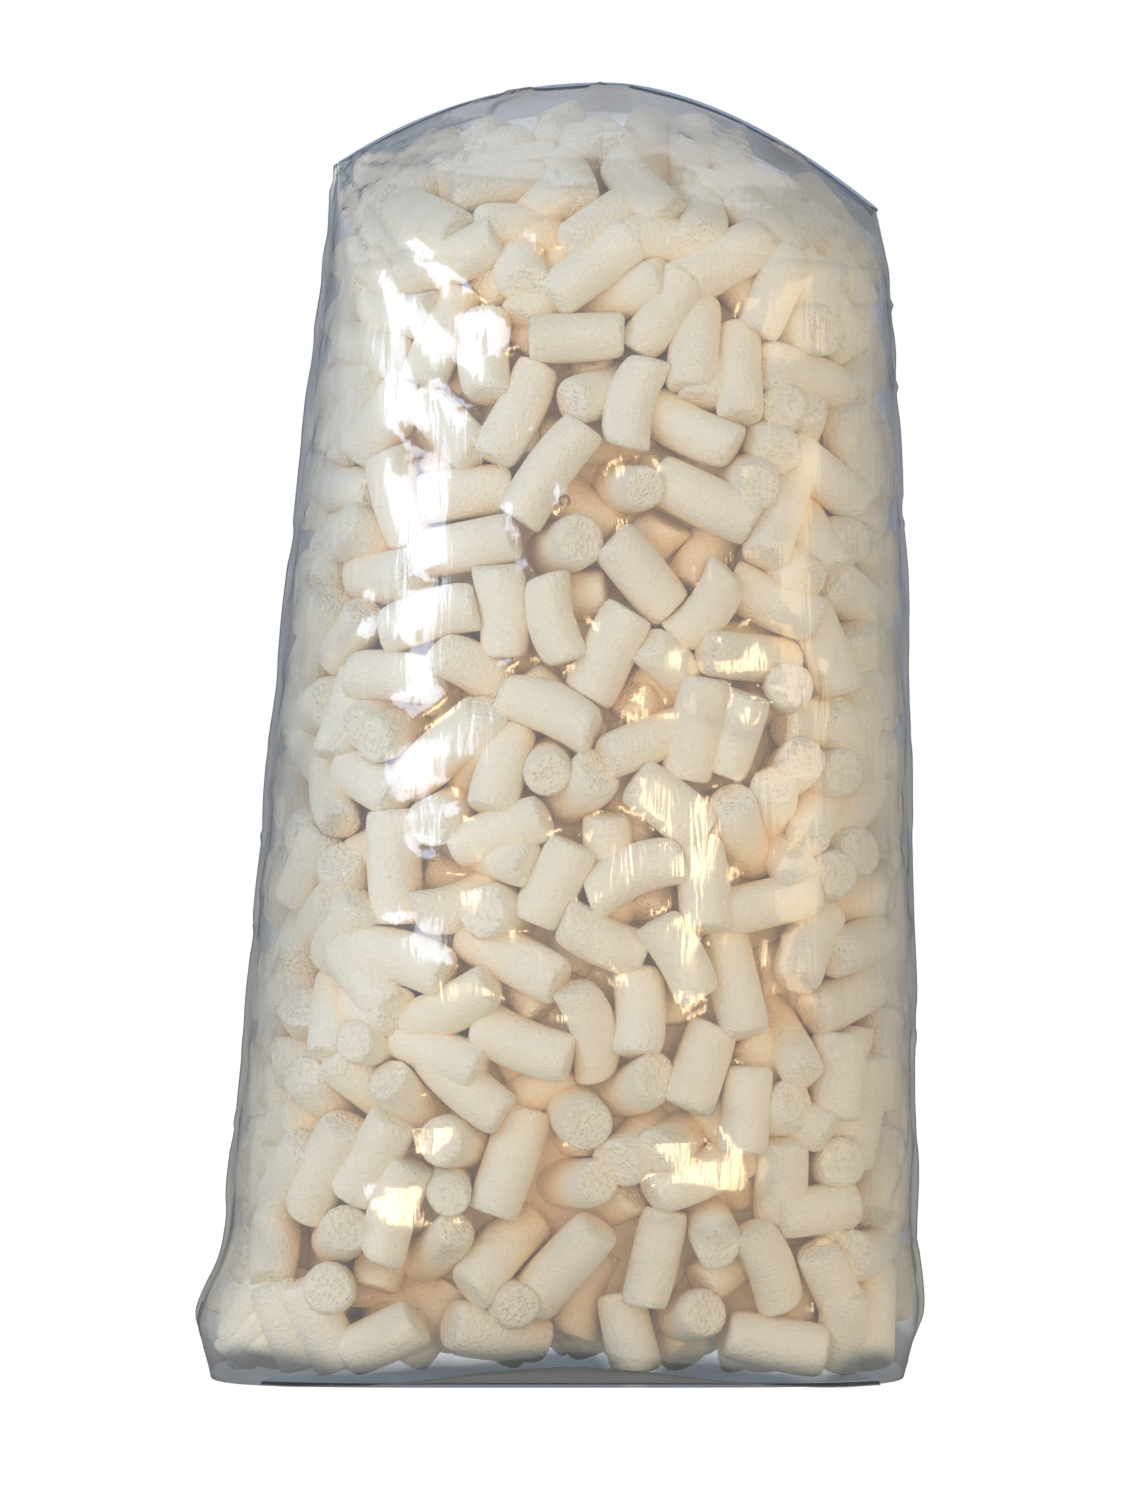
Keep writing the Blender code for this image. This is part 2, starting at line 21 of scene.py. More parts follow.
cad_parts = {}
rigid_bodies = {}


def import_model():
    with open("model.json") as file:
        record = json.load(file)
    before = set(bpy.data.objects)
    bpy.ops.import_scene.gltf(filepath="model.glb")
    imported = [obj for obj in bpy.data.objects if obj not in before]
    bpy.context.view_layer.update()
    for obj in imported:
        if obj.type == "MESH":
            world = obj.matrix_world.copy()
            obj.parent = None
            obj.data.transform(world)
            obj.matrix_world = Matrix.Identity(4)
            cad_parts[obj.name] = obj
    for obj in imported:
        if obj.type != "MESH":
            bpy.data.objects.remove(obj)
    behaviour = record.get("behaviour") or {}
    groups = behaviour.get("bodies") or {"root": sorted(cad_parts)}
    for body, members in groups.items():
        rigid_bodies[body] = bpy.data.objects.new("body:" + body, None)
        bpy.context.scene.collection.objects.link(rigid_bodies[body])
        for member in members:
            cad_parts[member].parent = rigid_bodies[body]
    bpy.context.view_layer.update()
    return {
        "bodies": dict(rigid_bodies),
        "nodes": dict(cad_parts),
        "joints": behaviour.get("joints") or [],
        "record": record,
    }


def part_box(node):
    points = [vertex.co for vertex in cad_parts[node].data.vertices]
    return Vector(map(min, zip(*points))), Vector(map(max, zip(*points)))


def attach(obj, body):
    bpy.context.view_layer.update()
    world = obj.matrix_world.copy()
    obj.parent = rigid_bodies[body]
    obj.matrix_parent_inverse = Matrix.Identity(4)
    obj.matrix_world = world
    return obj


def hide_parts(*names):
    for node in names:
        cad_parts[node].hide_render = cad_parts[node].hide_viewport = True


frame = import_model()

LOG = logging.getLogger("packing_peanut_bag")
NOISE_SEED = 7
TINY = 1e-9  # keeps a distance of 0 from being divided by
ON_FILM = 1e-7  # nearer than this, a point lies on the film

Stations = tuple[tuple[float, float], ...]
Place = tuple[float, float, float]
Ring = list[Vector]
NodeAdder = Callable[..., bpy.types.NodeOutputs]


def linear(hex_colour: str) -> tuple[float, float, float, float]:
    """Turns an sRGB hex colour into a linear one with alpha.

    Args:
        hex_colour: the colour, such as "#F3EDDF".

    Returns:
        Red, green, blue and alpha, from 0 to 1.
    """
    shares = [int(hex_colour[i : i + 2], 16) / 255 for i in (1, 3, 5)]
    return (*(s / 12.92 if s <= 0.04045 else ((s + 0.055) / 1.055) ** 2.4 for s in shares), 1.0)


def add_node(
    tree: bpy.types.NodeTree, kind: str, inputs: dict[int | str, Any] | None = None, **settings: Any
) -> bpy.types.NodeOutputs:
    """Adds a node with its settings and links.

    Args:
        tree: the node tree that gets it.
        kind: the node's type.
        inputs: by the input's name or number, the socket that is linked to it, or its value.
        **settings: the node's own properties.

    Returns:
        The new node's outputs, by name or number.
    """
    node = tree.nodes.new(kind)
    for name, value in settings.items():
        setattr(node, name, value)
    for name, value in (inputs or {}).items():
        if isinstance(value, bpy.types.NodeSocket):
            tree.links.new(value, node.inputs[name])
        else:
            node.inputs[name].default_value = value
    return node.outputs


def new_material(name: str) -> tuple[bpy.types.Material, NodeAdder]:
    """Makes an empty material.

    Args:
        name: the material's name.

    Returns:
        The material, and add_node for its own node tree.
    """
    material = bpy.data.materials.new(name)
    material.use_nodes = True
    material.node_tree.nodes.clear()
    return material, partial(add_node, material.node_tree)


def to_mesh(made: bmesh.types.BMesh, name: str, **values: Iterable[float]) -> bpy.types.Mesh:
    """Turns a bmesh into a mesh and frees it.

    Args:
        made: the bmesh.
        name: the mesh's name.
        **values: by the name of an attribute, its value at each vertex.

    Returns:
        The mesh.
    """
    mesh = bpy.data.meshes.new(name)
    made.to_mesh(mesh)
    made.free()
    for label, each in values.items():
        each = np.array(each, dtype=np.float32)
        mesh.attributes.new(label, "FLOAT", "POINT").data.foreach_set("value", each)
    return mesh


def smooth_line(stations: Stations, at: float) -> float:
    """Finds a value on the smooth curve through some stations, which is flat beyond both ends.

    Args:
        stations: pairs of place and value.
        at: the place that the value is wanted for.

    Returns:
        The value there.
    """
    places = [place for place, _ in stations]
    values = [value for _, value in stations]
    if at <= places[0]:
        return values[0]
    if at >= places[-1]:
        return values[-1]
    i = max(k for k in range(len(places) - 1) if places[k] <= at)
    slopes = []
    for k in (i, i + 1):
        low, high = max(k - 1, 0), min(k + 1, len(places) - 1)
        slopes.append((values[high] - values[low]) / (places[high] - places[low]))
    span = places[i + 1] - places[i]
    t = (at - places[i]) / span
    start = (2 * t**3 - 3 * t**2 + 1) * values[i] + (t**3 - 2 * t**2 + t) * span * slopes[0]
    return start + (3 * t**2 - 2 * t**3) * values[i + 1] + (t**3 - t**2) * span * slopes[1]


def finished_piece(
    mesh: bpy.types.Mesh, material: bpy.types.Material, node: str
) -> bpy.types.Object:
    """Makes an object of a mesh, in place of a CAD node.

    Args:
        mesh: the mesh, already in place, which gives the object its name.
        material: its only material.
        node: the CAD node that it replaces.

    Returns:
        The object, riding on the model's one body.
    """
    piece = bpy.data.objects.new(mesh.name, mesh)
    bpy.context.scene.collection.objects.link(piece)
    mesh.materials.clear()
    mesh.materials.append(material)
    mesh.shade_smooth()
    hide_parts(node)
    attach(piece, "root")
    return piece


@dataclass(frozen=True)
class BagShape:
    """The form of the filled bag, with the sizes that its solids have."""

    base_width: float = 0.238
    base_depth: float = 0.118
    ear_width: float = 0.2465
    ear_height: float = 0.018
    hip_width: float = 0.2355
    hip_height: float = 0.046
    waist_width: float = 0.2115
    waist_height: float = 0.254
    belly_depth: float = 0.160
    belly_height: float = 0.140
    shoulder_width: float = 0.192
    shoulder_depth: float = 0.134
    shoulder_height: float = 0.378
    crest_width: float = 0.188
    crest_height: float = 0.446
    crest_drop_left: float = 0.028
    crest_drop_right: float = 0.044
    crest_curve_left: float = 2.2
    crest_curve_right: float = 1.75
    lean: float = 0.013
    ear_shift: float = 0.0045
    belly_forward: float = 0.004
    film: float = 0.0005
    gap: float = 0.0003
    swell_height: float = 0.0012
    swell_pitch: float = 0.058
    edge_crease: float = 0.0030
    crease_spread: float = 0.10
    gather_rises: tuple[float, float] = (0.0045, 0.0015)
    gather_reach: float = 0.075
    gather_folds: int = 11
    vent_height: float = 0.297
    vent_side: float = -0.012
    body_share: float = 0.8  # of the way up the film that lies under the shoulder
    base_square: float = 5.0  # the power of the superellipse in front, at the floor
    hip_square: float = 3.2
    belly_square: float = 2.6
    back_square: float = 2.5
    crest_square: float = 2.0
    crown_bulge: float = 2.2
    crown_closing: float = 1.05
    weld: float = 2.2  # film thicknesses within which the front and the back join at the crest

    def width(self, height: float) -> float:
        """Gives the bag's width at a height.

        Args:
            height: the height, under the shoulder.

        Returns:
            The width in metres.
        """
        stations = (
            (0.0, self.base_width),
            (self.ear_height, self.ear_width),
            (self.hip_height, self.hip_width),
            (self.waist_height, self.waist_width),
            (self.shoulder_height, self.shoulder_width),
        )
        return smooth_line(stations, height)

    def depth(self, height: float) -> float:
        """Gives the bag's depth, front to back, at a height.

        Args:
            height: the height, under the shoulder.

        Returns:
            The depth in metres.
        """
        stations = (
            (0.0, self.base_depth),
            (self.belly_height, self.belly_depth),
            (self.shoulder_height, self.shoulder_depth),
        )
        return smooth_line(stations, height)

    def middle(self, height: float) -> tuple[float, float]:
        """Gives the x and y of the bag's middle line at a height."""
        sides = ((self.ear_height, -self.ear_shift), (self.hip_height, 0.0), (self.shoulder_height, self.lean))
        forwards = ((0.0, 0.0), (self.belly_height, self.belly_forward), (self.shoulder_height, 0.0))
        return smooth_line(sides, height), -smooth_line(forwards, height)

    def crest(self, side: float) -> float:
        """Gives the crest's height at a distance to the right of its middle."""
        drop, curve = self.crest_drop_left, self.crest_curve_left
        if side > 0:
            drop, curve = self.crest_drop_right, self.crest_curve_right
        return self.crest_height - drop * abs(2 * side / self.crest_width) ** curve

    def from_corner(self, point: Vector, side: float) -> tuple[float, float]:
        """Gives how far right of and below an upper corner a point is: side is -0.5 for left, 0.5 for right."""
        across = point.x - self.middle(self.shoulder_height)[0] - side * self.crest_width
        return across, self.crest(side * self.crest_width) - point.z

    def vent_place(self) -> Vector:
        """Gives where the air hole is, on the middle plane behind it."""
        return Vector((self.middle(self.vent_height)[0] + self.vent_side, 0.0, self.vent_height))

    def swell(self, point: Vector) -> float:
        """Gives how far the film swells out between its tight places.

        Args:
            point: a point of the smooth bag.

        Returns:
            The distance in metres.
        """
        turn = 2 * math.pi / self.swell_pitch
        wave = math.sin(turn * (point.x + 0.4 * point.z)) * math.sin(turn * (0.8 * point.z - 0.5 * point.x))
        wave += 0.6 * math.sin(turn * (0.7 * point.y + 0.9 * point.z) + 1.0)
        return self.swell_height * (0.5 + 0.5 * max(-1.0, min(1.0, wave)))

    def gathers(self, point: Vector) -> float:
        """Gives how far the folds that fan out from the upper corners lift the film.

        Args:
            point: a point of the smooth bag.

        Returns:
            The distance in metres.
        """
        rise = 0.0
        for side, height in zip((-0.5, 0.5), self.gather_rises):
            across, down = self.from_corner(point, side)
            fan = 0.5 + 0.5 * math.cos(self.gather_folds * math.atan2(across, down) + 4 * side)
            rise += height * fan * math.exp(-math.hypot(across, down) / self.gather_reach)
        return rise

    def stand_out(self, point: Vector, along: float) -> float:
        """Gives how far the film stands out in all: not at all along the floor and the crest.

        Args:
            point: a point of the smooth bag.
            along: how far it is towards the front or the back, from -1 to 1.

        Returns:
            The distance in metres.
        """
        crease = self.edge_crease * math.exp(-abs(along / self.crease_spread) ** 1.2)
        low = min(1.0, point.z / self.ear_height)
        under_crest = self.crest(point.x - self.middle(self.shoulder_height)[0]) - point.z
        high = min(1.0, max(0.0, under_crest / self.hip_height))
        return low * high * (self.swell(point) + self.gathers(point) + crease)

    def ring(
        self,
        half: tuple[float, float],
        centre: tuple[float, float],
        squareness: tuple[float, float],
        height_at: Callable[[float], float],
        around: int,
        swelling: bool,
    ) -> Ring:
        """Makes one ring of points round the bag, from its right side through its back.

        Args:
            half: half the width and half the depth.
            centre: x and y of the middle.
            squareness: the superellipse's powers in front and at the back.
            height_at: gives the height at a distance to the right of the middle.
            around: how many points.
            swelling: whether the film stands out.

        Returns:
            The points.
        """
        points = []
        for i in range(around):
            turn = 2 * math.pi * i / around
            across, along = math.cos(turn), math.sin(turn)
            power = squareness[1] if 2 * i <= around else squareness[0]
            reach = (abs(across) ** power + abs(along) ** power) ** (-1 / power)
            side = half[0] * reach * across
            point = Vector((centre[0] + side, centre[1] + half[1] * reach * along, height_at(side)))
            outward = Vector((across / half[0], along / half[1], 0)).normalized()
            points.append(point + outward * (self.stand_out(point, along) if swelling else 0.0))
        return points

    def body_ring(self, height: float, inset: float, around: int = 36, swelling: bool = False) -> Ring:
        """Makes the ring at a height under the shoulder.

        Args:
            height: the height.
            inset: how far inside the film it lies.
            around: how many points.
            swelling: whether the film stands out.

        Returns:
            The points.
        """
        stations = (
            (0.0, self.base_square),
            (self.hip_height, self.hip_square),
            (self.belly_height, self.belly_square),
        )
        half = (self.width(height) / 2 - inset, self.depth(height) / 2 - inset)
        square = (smooth_line(stations, height), self.back_square)
        return self.ring(half, self.middle(height), square, lambda side: height, around, swelling)

    def crown_ring(self, share: float, inset: float, around: int = 36, swelling: bool = False) -> Ring:
        """Makes a ring between the shoulder and the crest.

        Args:
            share: of the way from the shoulder to the crest.
            inset: how far inside the film it lies.
            around: how many points.
            swelling: whether the film stands out.

        Returns:
            The points.
        """
        half_width = (self.shoulder_width + (self.crest_width - self.shoulder_width) * share) / 2
        half_depth = self.shoulder_depth / 2 * (1 - share**self.crown_bulge) ** self.crown_closing
        power = self.back_square - (self.back_square - self.crest_square) * share

        def height_at(side: float) -> float:
            """Gives the ring's height at a distance to the right of its middle."""
            return self.shoulder_height + (self.crest(side) - self.shoulder_height) * share - inset * share

        half = (half_width - inset, max(half_depth - inset, self.film))
        return self.ring(half, self.middle(self.shoulder_height), (power, power), height_at, around, swelling)

    def ring_at(self, up: float, inset: float, around: int = 36, swelling: bool = False) -> Ring:
        """Makes the ring at a share of the way up the film.

        Args:
            up: the share.
            inset: how far inside the film it lies.
            around: how many points.
            swelling: whether the film stands out.

        Returns:
            The points.
        """
        if up > self.body_share:
            return self.crown_ring((up - self.body_share) / (1 - self.body_share), inset, around, swelling)
        return self.body_ring(max(inset, self.shoulder_height * up / self.body_share), inset, around, swelling)

    def place(self, around: float, up: float) -> tuple[Vector, Vector]:
        """Finds the point just inside the film at shares of the way round and up it.

        Args:
            around: the share of the way round, which may pass 1.
            up: the share of the way up.

        Returns:
            The point, and the way round the bag there.
        """
        ring = self.ring_at(up, self.film + self.gap)
        count = len(ring)
        spans = [(ring[(i + 1) % count] - ring[i]).length for i in range(count)]
        left = (around % 1.0) * sum(spans)
        for i, span in enumerate(spans):
            if left <= span or i == count - 1:
                break
            left -= span
        side = ring[(i + 1) % count] - ring[i]
        return ring[i] + side * min(1.0, left / span), side.normalized()

    def sheet(self, columns: int, rows: int, inset: float, shift: Vector, swelling: bool) -> bmesh.types.BMesh:
        """Wraps a flat grid round the bag and closes its seam, its crest and its base.

        Args:
            columns: faces round the bag.
            rows: faces up the bag.
            inset: how far inside the film it lies.
            shift: the step from the bag's own middle to the model's.
            swelling: whether the film stands out.

        Returns:
            The closed sheet, with the flat grid as its UV map.
        """
        mesh = bmesh.new()
        mesh.loops.layers.uv.new("flat_film")
        bmesh.ops.create_grid(mesh, x_segments=columns, y_segments=rows, size=0.5, calc_uvs=True)
        rings = [self.ring_at(row / rows, inset, columns, swelling) for row in range(rows + 1)]
        for vert in mesh.verts:
            column = round((vert.co.x + 0.5) * columns) % columns
            row = round((vert.co.y + 0.5) * rows)
            vert.co = rings[row][column] + shift
            vert.tag = row == rows
        crest = [vert for vert in mesh.verts if vert.tag]
        bmesh.ops.remove_doubles(mesh, verts=mesh.verts[:], dist=1e-6)
        crest = [vert for vert in crest if vert.is_valid]
        bmesh.ops.remove_doubles(mesh, verts=crest, dist=self.weld * self.film)
        floor = [edge for edge in mesh.edges if edge.is_boundary and all(vert.co.z < 0.01 for vert in edge.verts)]
        bmesh.ops.edgeloop_fill(mesh, edges=floor)
        bmesh.ops.recalc_face_normals(mesh, faces=mesh.faces[:])
        return mesh


@dataclass
class Rod:
    """The straight middle line and the size of one peanut."""

    centre: Vector
    way: Vector
    length: float
    radius: float


def measures(rods: Iterable[Rod]) -> tuple[np.ndarray, ...]:
    """Lists the centres, ways, lengths and radii of some rods as four arrays."""
    rows = [(rod.centre, rod.way, rod.length, rod.radius) for rod in rods]
    return tuple(np.array(column) for column in zip(*rows))


def distances(steps: np.ndarray) -> np.ndarray:
    """Gives the lengths of some steps."""
    return np.sqrt((steps * steps).sum(1))


def closest(
    between: np.ndarray, a: np.ndarray, b: np.ndarray, half_a: np.ndarray, half_b: np.ndarray
) -> tuple[np.ndarray, np.ndarray, np.ndarray]:
    """Finds where pairs of rods come closest.

    Args:
        between: the steps from the middles of the second rods to those of the first ones.
        a: unit ways of the first rods.
        b: unit ways of the second rods.
        half_a: half lengths of the first rods.
        half_b: half lengths of the second rods.

    Returns:
        The places on the first and on the second rods, and the steps between those places.
    """
    dot = (a * b).sum(1)
    on_a, on_b = (a * between).sum(1), (b * between).sum(1)
    flat = np.maximum(1 - dot * dot, 1e-6)
    s = np.clip((dot * on_b - on_a) / flat, -half_a, half_a)
    t = np.clip(dot * s + on_b, -half_b, half_b)
    s = np.clip(dot * t - on_a, -half_a, half_a)
    return s, t, between + a * s[:, None] - b * t[:, None]


@dataclass
class FlatSheet:
    """The unrolled film that peanuts are spread on and pushed apart, counted in peanut thicknesses."""

    count: int = 350
    seed: int = 41
    around: float = 36.5
    up: float = 26.0
    lowest: float = 0.6
    highest: float = 25.2
    narrowing: Stations = ((0.0, 0.97), (0.35, 1.0), (0.8, 0.83), (1.0, 0.62))
    radius: float = 0.0090
    length: float = 0.0345
    length_spread: float = 0.0060
    radius_spread: float = 0.0007
    end_on_share: float = 0.24
    end_on_leans: tuple[float, float] = (0.5, 1.0)
    flat_leans: tuple[float, float] = (0.0, 0.3)
    tries: int = 10
    rounds: int = 200
    rounds_per_look: int = 5  # for new pairs that may touch
    most_push: float = 1.5
    places: np.ndarray = field(init=False)
    ways: np.ndarray = field(init=False)
    halves: np.ndarray = field(init=False)
    radii: np.ndarray = field(init=False)
    lengths: np.ndarray = field(init=False)
    leans: np.ndarray = field(init=False)

    def __post_init__(self) -> None:
        """Spreads the peanuts out."""
        rng = random.Random(self.seed)
        self.places = self.first_places(rng)
        self.draw_sizes(rng)
        for turn in range(self.rounds):
            if turn % self.rounds_per_look == 0:
                first, second = self.near_pairs()
            self.push_apart(first, second)

    def narrow(self, up: np.ndarray | float) -> np.ndarray:
        """Gives the share of the widest way round that the film has at a height."""
        shares, widths = zip(*self.narrowing)
        return np.interp(up / self.up, shares, widths)

    def steps(self, places: np.ndarray, first: np.ndarray, second: np.ndarray) -> np.ndarray:
        """Gives steps on the film, which may cross its seam.

        Args:
            places: all the places.
            first: the numbers of the places that the steps lead to.
            second: the numbers of the places that they start from.

        Returns:
            The steps, across and up.
        """
        steps = places[first] - places[second]
        steps[:, 0] -= self.around * np.round(steps[:, 0] / self.around)
        steps[:, 0] *= self.narrow((places[first, 1] + places[second, 1]) / 2)
        return steps

    def first_places(self, rng: random.Random) -> np.ndarray:
        """Spreads places evenly over the film, each one the furthest of a few tries.

        Args:
            rng: where the tries come from.

        Returns:
            The places, across and up.
        """
        places = np.zeros((self.count, 2))
        for number in range(self.count):
            tries = []
            while len(tries) < self.tries:
                place = (rng.uniform(0, self.around), rng.uniform(self.lowest, self.highest))
                if rng.random() < self.narrow(place[1]):
                    tries.append(place)
            far = []
            for place in tries:
                places[number] = place
                steps = self.steps(places, np.full(number, number), np.arange(number))
                far.append(min((steps * steps).sum(1), default=0.0))
            places[number] = tries[far.index(max(far))]
        return places

    def draw_sizes(self, rng: random.Random) -> None:
        """Draws every peanut's length, thickness, lean and way.

        Args:
            rng: where the chances come from.
        """
        thickness = 2 * self.radius
        radii, lengths, leans, ways = [], [], [], []
        for _ in range(self.count):
            lengths.append(round((self.length + rng.uniform(-1, 1) * self.length_spread) / thickness, 6))
            radii.append(round((self.radius + rng.uniform(-1, 1) * self.radius_spread) / thickness, 6))
            lean = rng.uniform(*(self.end_on_leans if rng.random() < self.end_on_share else self.flat_leans))
            leans.append(lean * rng.choice((-1, 1)))
            turn = rng.uniform(0, math.pi)
            ways.append((math.cos(turn), math.sin(turn)))
        self.radii, self.lengths, self.leans, self.ways = map(np.array, (radii, lengths, leans, ways))
        self.halves = (self.lengths / 2 - self.radii) * np.sqrt(1 - self.leans**2)

    def near_pairs(self) -> tuple[np.ndarray, np.ndarray]:
        """Gives the numbers of the peanuts that may touch, as two arrays."""
        first, second = np.triu_indices(self.count, 1)
        steps = self.steps(self.places, first, second)
        near = (steps * steps).sum(1) < (self.lengths.max() + 0.5) ** 2
        return first[near], second[near]

    def push_apart(self, first: np.ndarray, second: np.ndarray) -> None:
        """Moves and turns the peanuts of some pairs where they overlap.

        Args:
            first: the numbers of the first ones.
            second: the numbers of the second ones.
        """
        between = self.steps(self.places, first, second)
        s, t, step = closest(between, self.ways[first], self.ways[second], self.halves[first], self.halves[second])
        distance = distances(step) + TINY
        over = np.maximum(self.radii[first] + self.radii[second] - distance, 0.0)
        push = step * (0.5 * over / distance)[:, None]
        moves, swings, hits = np.zeros_like(self.places), np.zeros_like(self.ways), np.zeros(self.count)
        for who, where, sign in ((first, s, 1.0), (second, t, -1.0)):
            arm = where / (self.halves[who] ** 2 + self.radii[who] ** 2)
            np.add.at(moves, who, sign * push)
            np.add.at(swings, who, sign * push * arm[:, None])
            np.add.at(hits, who, (over > 0).astype(float))
        share = (self.most_push / np.maximum(hits, self.most_push))[:, None]
        moves[:, 0] /= self.narrow(self.places[:, 1])
        self.places += moves * share
        self.places[:, 1] = np.clip(self.places[:, 1], self.lowest, self.highest)
        self.ways += swings * share
        self.ways /= distances(self.ways)[:, None]
        self.places, self.ways = self.places.round(6), self.ways.round(6)


@dataclass(frozen=True)
class Layer:
    """One of the layers of loose peanuts behind the outer one."""

    count: int
    seed: int
    depth: float  # behind the film, where its peanuts start
    cover: float  # between the film and its peanuts, once they have settled


@dataclass(frozen=True)
class CreaseRow:
    """The sizes and places of the peanuts that stand in a side crease."""

    seed: int = 5
    lowest: float = 0.016
    end_room: float = 0.050  # under the shoulder
    radius: float = 0.0088
    radius_spread: float = 0.0005
    length: float = 0.029
    length_spread: tuple[float, float] = (-0.004, 0.005)
    gap: tuple[float, float] = (0.001, 0.010)
    reach: float = 0.0024  # how far a peanut stands out of the smooth bag
    play: float = 0.0085  # of its ends, to the front and back
    slope: float = 0.28  # how much an end draws in for its play


@dataclass
class Filling:
    """The peanuts in the bag: those against the film, where the solids have them, and the layers behind."""

    bag: BagShape
    single_count: int = 42
    single_room: float = 0.22
    single_lean: float = 0.35
    single_highest: float = 0.93
    front_start: float = 0.45  # of the way round, through the front
    front_end: float = 0.05
    wrap_step: float = 0.012
    layers: tuple[Layer, ...] = (Layer(340, 7, 0.007, 0.0015), Layer(280, 19, 0.018, 0.009))
    settling_rounds: int = 70
    rounds_per_look: int = 5  # for new pairs that may touch
    touching_reach: float = 0.055  # past which two peanuts can't touch
    settling_push: float = 0.45
    soft_end: float = 0.6  # of a radius, by which the soft ends of two peanuts may come closer
    press: float = 0.0006
    rim_points: int = 16
    drawing_rounds: int = 12
    film_play: float = 0.0004  # between the film and the joined peanuts
    floor_reach: float = 0.007
    crease_row: CreaseRow = CreaseRow()
    body_rings: int = 16
    crown_shares: tuple[float, ...] = (0.15, 0.31, 0.47, 0.63, 0.78, 0.9, 0.97)
    film_tree: BVHTree = field(init=False)
    outer: list[Rod] = field(init=False)
    singles: list[int] = field(init=False)
    inner: list[Rod] = field(default_factory=list)
    shift: Vector = field(init=False)

    def __post_init__(self) -> None:
        """Packs the outer peanuts, finds the separate ones and settles the layers behind."""
        self.film_tree = self.make_tree()
        sheet = FlatSheet()
        self.outer = self.wrapped(sheet, 0.0)
        self.singles = self.separate(sheet)
        self.shift = self.shift_to_model()
        self.outer = [rod if i in self.singles else self.spread_out(rod) for i, rod in enumerate(self.outer)]
        for layer in self.layers:
            loose = self.wrapped(FlatSheet(count=layer.count, seed=layer.seed), layer.depth)
            self.inner += self.settled(loose, self.outer + self.inner, layer.cover)
        self.inner += self.in_creases()

    def make_tree(self) -> BVHTree:
        """Makes the surface just inside the film as a tree for distances.

        Returns:
            The tree, in the bag's own place.
        """
        inset = self.bag.film + self.bag.gap
        heights = [inset, 2 * inset]
        heights += [self.bag.shoulder_height * k / self.body_rings for k in range(1, self.body_rings + 1)]
        loops = [self.bag.body_ring(height, inset) for height in heights]
        loops += [self.bag.crown_ring(share, inset) for share in self.crown_shares]
        mesh = bmesh.new()
        previous: list[bmesh.types.BMVert] = []
        for loop in loops:
            verts = [mesh.verts.new(point) for point in loop]
            for i, vert in enumerate(verts):
                j = (i + 1) % len(verts)
                mesh.edges.new((vert, verts[j]))
                if previous:
                    mesh.faces.new((previous[i], previous[j], verts[j], vert))
            previous = verts
        bmesh.ops.holes_fill(mesh, edges=mesh.edges[:], sides=0)
        bmesh.ops.recalc_face_normals(mesh, faces=mesh.faces[:])
        bmesh.ops.triangulate(mesh, faces=mesh.faces[:])
        tree = BVHTree.FromBMesh(mesh)
        mesh.free()
        return tree

    def outside(self, point: Vector) -> tuple[float, Vector]:
        """Measures how far a point lies outside the film.

        Args:
            point: a point in the bag's own place.

        Returns:
            The distance, less than 0 inside, and the way out.
        """
        near, normal, _, _ = self.film_tree.find_nearest(point)
        away = point - near
        if away.length < ON_FILM:
            return 0.0, normal
        sign = 1.0 if away.dot(normal) > 0 else -1.0
        return sign * away.length, away.normalized() * sign

    def drawn_in(self, rod: Rod) -> Rod:
        """Moves a peanut in until both its rims lie inside the film.

        Args:
            rod: the peanut, which is changed.

        Returns:
            The same peanut.
        """
        turned = rod.way.to_track_quat("Z", "Y")
        turns = [2 * math.pi * i / self.rim_points for i in range(self.rim_points)]
        rim = [(rod.radius * math.cos(turn), rod.radius * math.sin(turn)) for turn in turns]
        rims = [turned @ Vector((*point, end * rod.length)) for end in (-0.5, 0.5) for point in rim]
        for _ in range(self.drawing_rounds):
            worst, out = max((self.outside(rod.centre + point) for point in rims), key=lambda found: found[0])
            if worst <= 0:
                break
            rod.centre = rod.centre - out * (worst + self.bag.gap)
        return rod

    def wrapped(self, sheet: FlatSheet, depth: float) -> list[Rod]:
        """Wraps the peanuts of a flat sheet round the bag.

        Args:
            sheet: the spread peanuts.
            depth: how far behind the film they lie.

        Returns:
            The peanuts in the bag's own place.
        """
        rods = []
        thickness = 2 * sheet.radius
        for number in range(sheet.count):
            lean, way = float(sheet.leans[number]), sheet.ways[number]
            radius, length = float(sheet.radii[number]) * thickness, float(sheet.lengths[number]) * thickness
            around, up = sheet.places[number, 0] / sheet.around, sheet.places[number, 1] / sheet.up
            point, round_it = self.bag.place(around, up)
            up_it = (self.bag.place(around, min(1.0, up + self.wrap_step))[0] - point).normalized()
            out = round_it.cross(up_it).normalized()
            flat = round_it * float(way[0]) + out.cross(round_it) * float(way[1])
            axis = flat * math.sqrt(1 - lean * lean) + out * lean
            reach = abs(lean) * length / 2 + radius * math.sqrt(1 - lean * lean) + depth
            centre = point - out * reach
            lowest = self.bag.film + self.bag.gap + abs(axis.z) * length / 2
            centre.z = max(centre.z, lowest + radius * math.sqrt(max(0.0, 1 - axis.z**2)))
            rods.append(self.drawn_in(Rod(centre, axis, length, radius)))
        return rods

